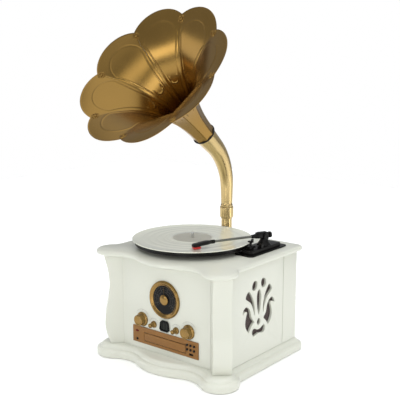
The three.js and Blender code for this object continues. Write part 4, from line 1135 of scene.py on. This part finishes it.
tail = -ARM_NECK - 39
body_block = moved(plate([rounded_rectangle(-6, tail - 19, 6, tail, 2, 5)], 4.8, 0.7), place(z=-12))
stylus = lofted([
    [(x, tail + y, z) for x, y in ((-half, low), (half, low), (half, high), (-half, high))]
    for half, low, high, z in ((0.9, -15, -9, -11.8), (0.3, -15.6, -14.6, -12.9))
])
add("arm_cartridge", merged(body_block, stylus), RED, "tonearm", ["cartridge"], ARM_FRAME)

# Horn: post, neck and gasket

post_profile = [(11.5, DECK_BOTTOM), (14.4, DECK_BOTTOM), (14.4, DECK_TOP + GAP)] + smoothed([
    (25, DECK_TOP + GAP), (25, 277.4), (24.2, 278.2), (22.4, 279), (21.6, 280.4), (18.2, 281.6), (16, 283.4),
    (14.4, 285.6), (14, 288)], 4) + [(14, 341), (11.5, 341)]
# Painted highlight: the post uses the bell's brass, brightened to look lit.
add("post_turned", lathe(post_profile, 64, ring=True), PIPE_BRASS_PAINTED_BRIGHT, "cabinet", ["horn_post"],
    place(*HORN))


def neck_station(distance):
    up = BEND_START - COLLAR_BOTTOM
    if distance <= up:
        return HORN[1], COLLAR_BOTTOM + distance, 0.0
    lean = min((distance - up) / BEND_RADIUS, BELL_TILT)
    past = max(distance - up - BELL_TILT * BEND_RADIUS, 0)
    y = HORN[1] - BEND_RADIUS * (1 - math.cos(lean)) - past * math.sin(lean)
    z = BEND_START + BEND_RADIUS * math.sin(lean) + past * math.cos(lean)
    return y, z, lean


def neck():
    up = BEND_START - COLLAR_BOTTOM
    bend_end_y = neck_station(up + BELL_TILT * BEND_RADIUS)[0]
    length = up + BELL_TILT * BEND_RADIUS + (bend_end_y - THROAT[0]) / math.sin(BELL_TILT) - 3.3
    ridges = smoothed([
        (0, 15.6), (1.8, 15.6), (3.0, 16.6), (4.6, 17.7), (6.5, 17.9), (28.5, 17.9), (30.6, 17.6),
        (32.2, 16.6),
        (33.2, 15.9), (34.6, 16.2), (36, 16.2), (37.4, 15.7), (38.4, 15.2),
    ], 4)
    start, narrow = ridges[-1]
    outside = ridges + [
        (start + (length - start) * i / 48, narrow + (THROAT_RADIUS - narrow) * (i / 48) ** 1.4)
        for i in range(1, 49)
    ]
    inside = [(0, POST_RADIUS + 0.4), (24, POST_RADIUS + 0.4), (24, 12.4)]
    inside += [(d, r - 2) for d, r in outside if d > 40][::3] + [(length, THROAT_RADIUS - 2)]
    rings = []
    for distance, radius in outside + inside[::-1]:
        y, z, lean = neck_station(distance)
        ring = []
        for i in range(64):
            angle = math.tau * i / 64
            across, along = radius * math.cos(angle), radius * math.sin(angle)
            ring.append((HORN[0] + across, y + along * math.cos(lean), z + along * math.sin(lean)))
        rings.append(ring)
    return lofted(rings, loop=True)


# Painted highlight: the neck uses the bell's brass, brightened to look lit.
add("neck_tube", neck(), PIPE_BRASS_PAINTED_BRIGHT, "horn", ["horn_neck"], smooth=40)
gasket_profile = [(25, -3), (29.4, -3), (30.6, -2.5), (31, -1.65), (30.6, -0.8), (29.4, -0.3), (25, -0.3)]
add("gasket_ring", lathe(gasket_profile, 72, ring=True), RUBBER, "horn",
    ["throat_gasket"], BELL_FRAME)

# Horn: eight embossed petals

HALF_SECTOR = math.pi / PETALS
CHORD = NOTCH_RADIUS * math.cos(HALF_SECTOR)
CHORD_HALF = NOTCH_RADIUS * math.sin(HALF_SECTOR)
LOBE_RADIUS = (CHORD_HALF**2 + LOBE_RISE**2) / (2 * LOBE_RISE)
PETAL_THICKNESS = 1.0


def flare_point(t):
    weights = np.array([(1 - t) ** 3, 3 * (1 - t) ** 2 * t, 3 * (1 - t) * t**2, t**3])
    return weights @ np.array(FLARE, float)


def flare_slope(t):
    (a, b, c, d) = np.array(FLARE, float)
    slope = 3 * (1 - t) ** 2 * (b - a) + 6 * (1 - t) * t * (c - b) + 3 * t**2 * (d - c)
    return slope / np.linalg.norm(slope)


FLARE_T = np.linspace(0, 1, 1501)
FLARE_POINTS = np.array([flare_point(t) for t in FLARE_T])
FLARE_LENGTH = np.concatenate([[0], np.cumsum(np.linalg.norm(np.diff(FLARE_POINTS, axis=0), axis=1))])


def petal_rows():
    """Rows across the petal as (curve parameter, length along the flare, half width)."""
    chord_t = np.interp(CHORD, FLARE_POINTS[:, 1], FLARE_T)
    chord_length = np.interp(chord_t, FLARE_T, FLARE_LENGTH)
    lengths = list(np.linspace(0, 104, 14)[:-1]) + list(np.arange(104, chord_length - 0.7, 1.35))
    rows = []
    for length in lengths:
        t = np.interp(length, FLARE_LENGTH, FLARE_T)
        rows.append((t, length, flare_point(t)[1] * math.tan(HALF_SECTOR)))
    sweep = math.asin(CHORD_HALF / LOBE_RADIUS)
    for share in np.linspace(1, 0.035, 48):
        rise = LOBE_RADIUS * math.cos(sweep * share) - (LOBE_RADIUS - LOBE_RISE)
        t = np.interp(CHORD + rise, FLARE_POINTS[:, 1], FLARE_T)
        rows.append((t, np.interp(t, FLARE_T, FLARE_LENGTH), LOBE_RADIUS * math.sin(sweep * share)))
    return rows


def seam_half(length):
    return np.interp(length, FLARE_LENGTH, FLARE_POINTS[:, 1]) * math.tan(HALF_SECTOR)


def distance_to_path(points, path):
    """Shortest distance from each of many points to a bent line."""
    best = np.full(len(points), 1e9)
    for a, b in zip(path[:-1], path[1:]):
        along = b - a
        t = np.clip((points - a) @ along / (along @ along), 0, 1)
        best = np.minimum(best, np.linalg.norm(points - a - t[:, None] * along, axis=1))
    return best


def tongue_path():
    """The raised outline of the tongue: along both seams and round inside the lobe."""
    center, radius = 256.0, 47.0
    side = [
        (length, seam_half(length) - 9.5 + 3.9 * max(0, (length - 200) / 56) ** 2)
        for length in range(118, 256, 6)
    ]
    over = [(center + radius * math.sin(a), radius * math.cos(a)) for a in np.linspace(0, math.pi, 40)]
    return np.array(side + over + [(length, -half) for length, half in side[::-1]])


def tab_path():
    """The small U pressed in near the throat, open towards the mouth."""
    radius, bottom, legs = 10.5, 157.0, 8.0
    bend = [(bottom - radius * math.sin(a), radius * math.cos(a)) for a in np.linspace(0, math.pi, 24)]
    return np.array([(bottom + legs, radius)] + bend + [(bottom + legs, -radius)])


def relief(points, edge_distance):
    """How far the sheet stands towards the listener at each (length, across)."""
    tongue = np.exp(-((distance_to_path(points, tongue_path()) / 1.25) ** 2))
    tab = np.exp(-((distance_to_path(points, tab_path()) / 1.15) ** 2))
    hem = np.exp(-((edge_distance / 1.3) ** 2))
    return 0.8 * tongue + 1.0 * tab + 0.55 * hem


def petal():
    columns = 113
    rows = petal_rows()
    chord_row_length = np.interp(np.interp(CHORD, FLARE_POINTS[:, 1], FLARE_T), FLARE_T, FLARE_LENGTH)
    shares = np.linspace(-1, 1, columns)
    flat = np.array([(length, share * half) for _, length, half in rows for share in shares])
    to_center = np.hypot(flat[:, 0] - chord_row_length + (LOBE_RADIUS - LOBE_RISE), flat[:, 1])
    edge = np.where(flat[:, 0] > chord_row_length - 6, np.abs(LOBE_RADIUS - to_center), 99.0)
    seam = np.where(flat[:, 0] > chord_row_length, 99.0, seam_half(flat[:, 0]) - np.abs(flat[:, 1]))
    height = relief(flat, np.minimum(edge, seam)).reshape(len(rows), columns)
    grids = []
    for offset in (0, PETAL_THICKNESS):
        grid = []
        for i, (t, _, half) in enumerate(rows):
            point, slope = flare_point(t), flare_slope(t)
            for j, share in enumerate(shares):
                shift = offset - height[i, j]
                across = share * (half - GAP / 2)
                grid.append((point[1] + slope[0] * shift, across, point[0] - slope[1] * shift))
        grids.append(grid)
    return skinned(*grids, len(rows), columns)


PETAL = petal()
for k in range(PETALS):
    turn = Matrix.Rotation(math.pi / 2 + BELL_ROLL + HALF_SECTOR + 2 * HALF_SECTOR * k, 4, "Z")
    add(f"petal_sheet_{k + 1}", PETAL, BRASS, "horn", [f"horn_petal_{k + 1}"],
        BELL_FRAME @ turn, smooth=60)


def rosette():
    """Riveted button over a seam: two swirling beads round a domed rivet head."""
    plate_shape = lathe(smoothed([(10.2, -0.8), (10.0, 0.6), (8.9, 1.1), (6, 0.7), (0, 0.7)], 3), 48)
    rivet = lathe(smoothed([(3.6, 0.3), (3.4, 2.0), (2.1, 3.1), (0, 3.5)], 4), 24)
    beads = []
    for start in (0.3, 0.3 + math.pi):
        rings = []
        for i in range(37):
            share = i / 36
            turn = start + 1.5 * math.pi * share
            reach = 8.6 - 4.2 * share**1.5
            thick = 0.35 + 1.15 * math.sin(math.pi * min(max(share, 0.02), 0.98)) ** 0.5
            center = Vector((reach * math.cos(turn), reach * math.sin(turn), 1.0))
            out = Vector((math.cos(turn), math.sin(turn), 0))
            rings.append([center + thick * (math.cos(a) * out + Vector((0, 0, math.sin(a))))
                          for a in (math.tau * j / 10 for j in range(10))])
        beads.append(lofted(rings))
    return merged(plate_shape, rivet, *beads)


def seam_frame(k, length):
    """A frame on the seam k, its Z axis pointing towards the listener."""
    t = float(np.interp(length, FLARE_LENGTH, FLARE_T))
    point, slope = flare_point(t), flare_slope(t)
    turn = Matrix.Rotation(math.pi / 2 + BELL_ROLL + 2 * HALF_SECTOR * k, 4, "Z")
    radius = point[1] / math.cos(HALF_SECTOR)
    out = Vector((slope[1], 0, slope[0]))
    normal = Vector((-slope[0], 0, slope[1]))
    basis = Matrix((
        (out.x, 0, normal.x, radius), (0, 1, 0, 0), (out.z, 0, normal.z, point[0]), (0, 0, 0, 1),
    ))
    return BELL_FRAME @ turn @ basis


for k in range(PETALS):
    add(f"seam_rosette_{k + 1}", rosette(), BRASS, "horn", matrix=seam_frame(k, 289), smooth=50)

# Finishes of the CAD nodes that stay as they are

KEPT = {
    LACQUER: ("front_panel", "back_panel"),
    BLACK: ("socket_plate", "speaker_left", "speaker_right"),
    RUBBER: ("foot_front_left", "foot_front_right", "foot_back_left", "foot_back_right"),
    STEEL: ("cd_mechanism", "transformer", "motor"),
    GREEN: ("circuit_board",),
}
for look, names in KEPT.items():
    for name in names:
        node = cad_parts[name]
        node.data.materials.clear()
        node.data.materials.append(look)
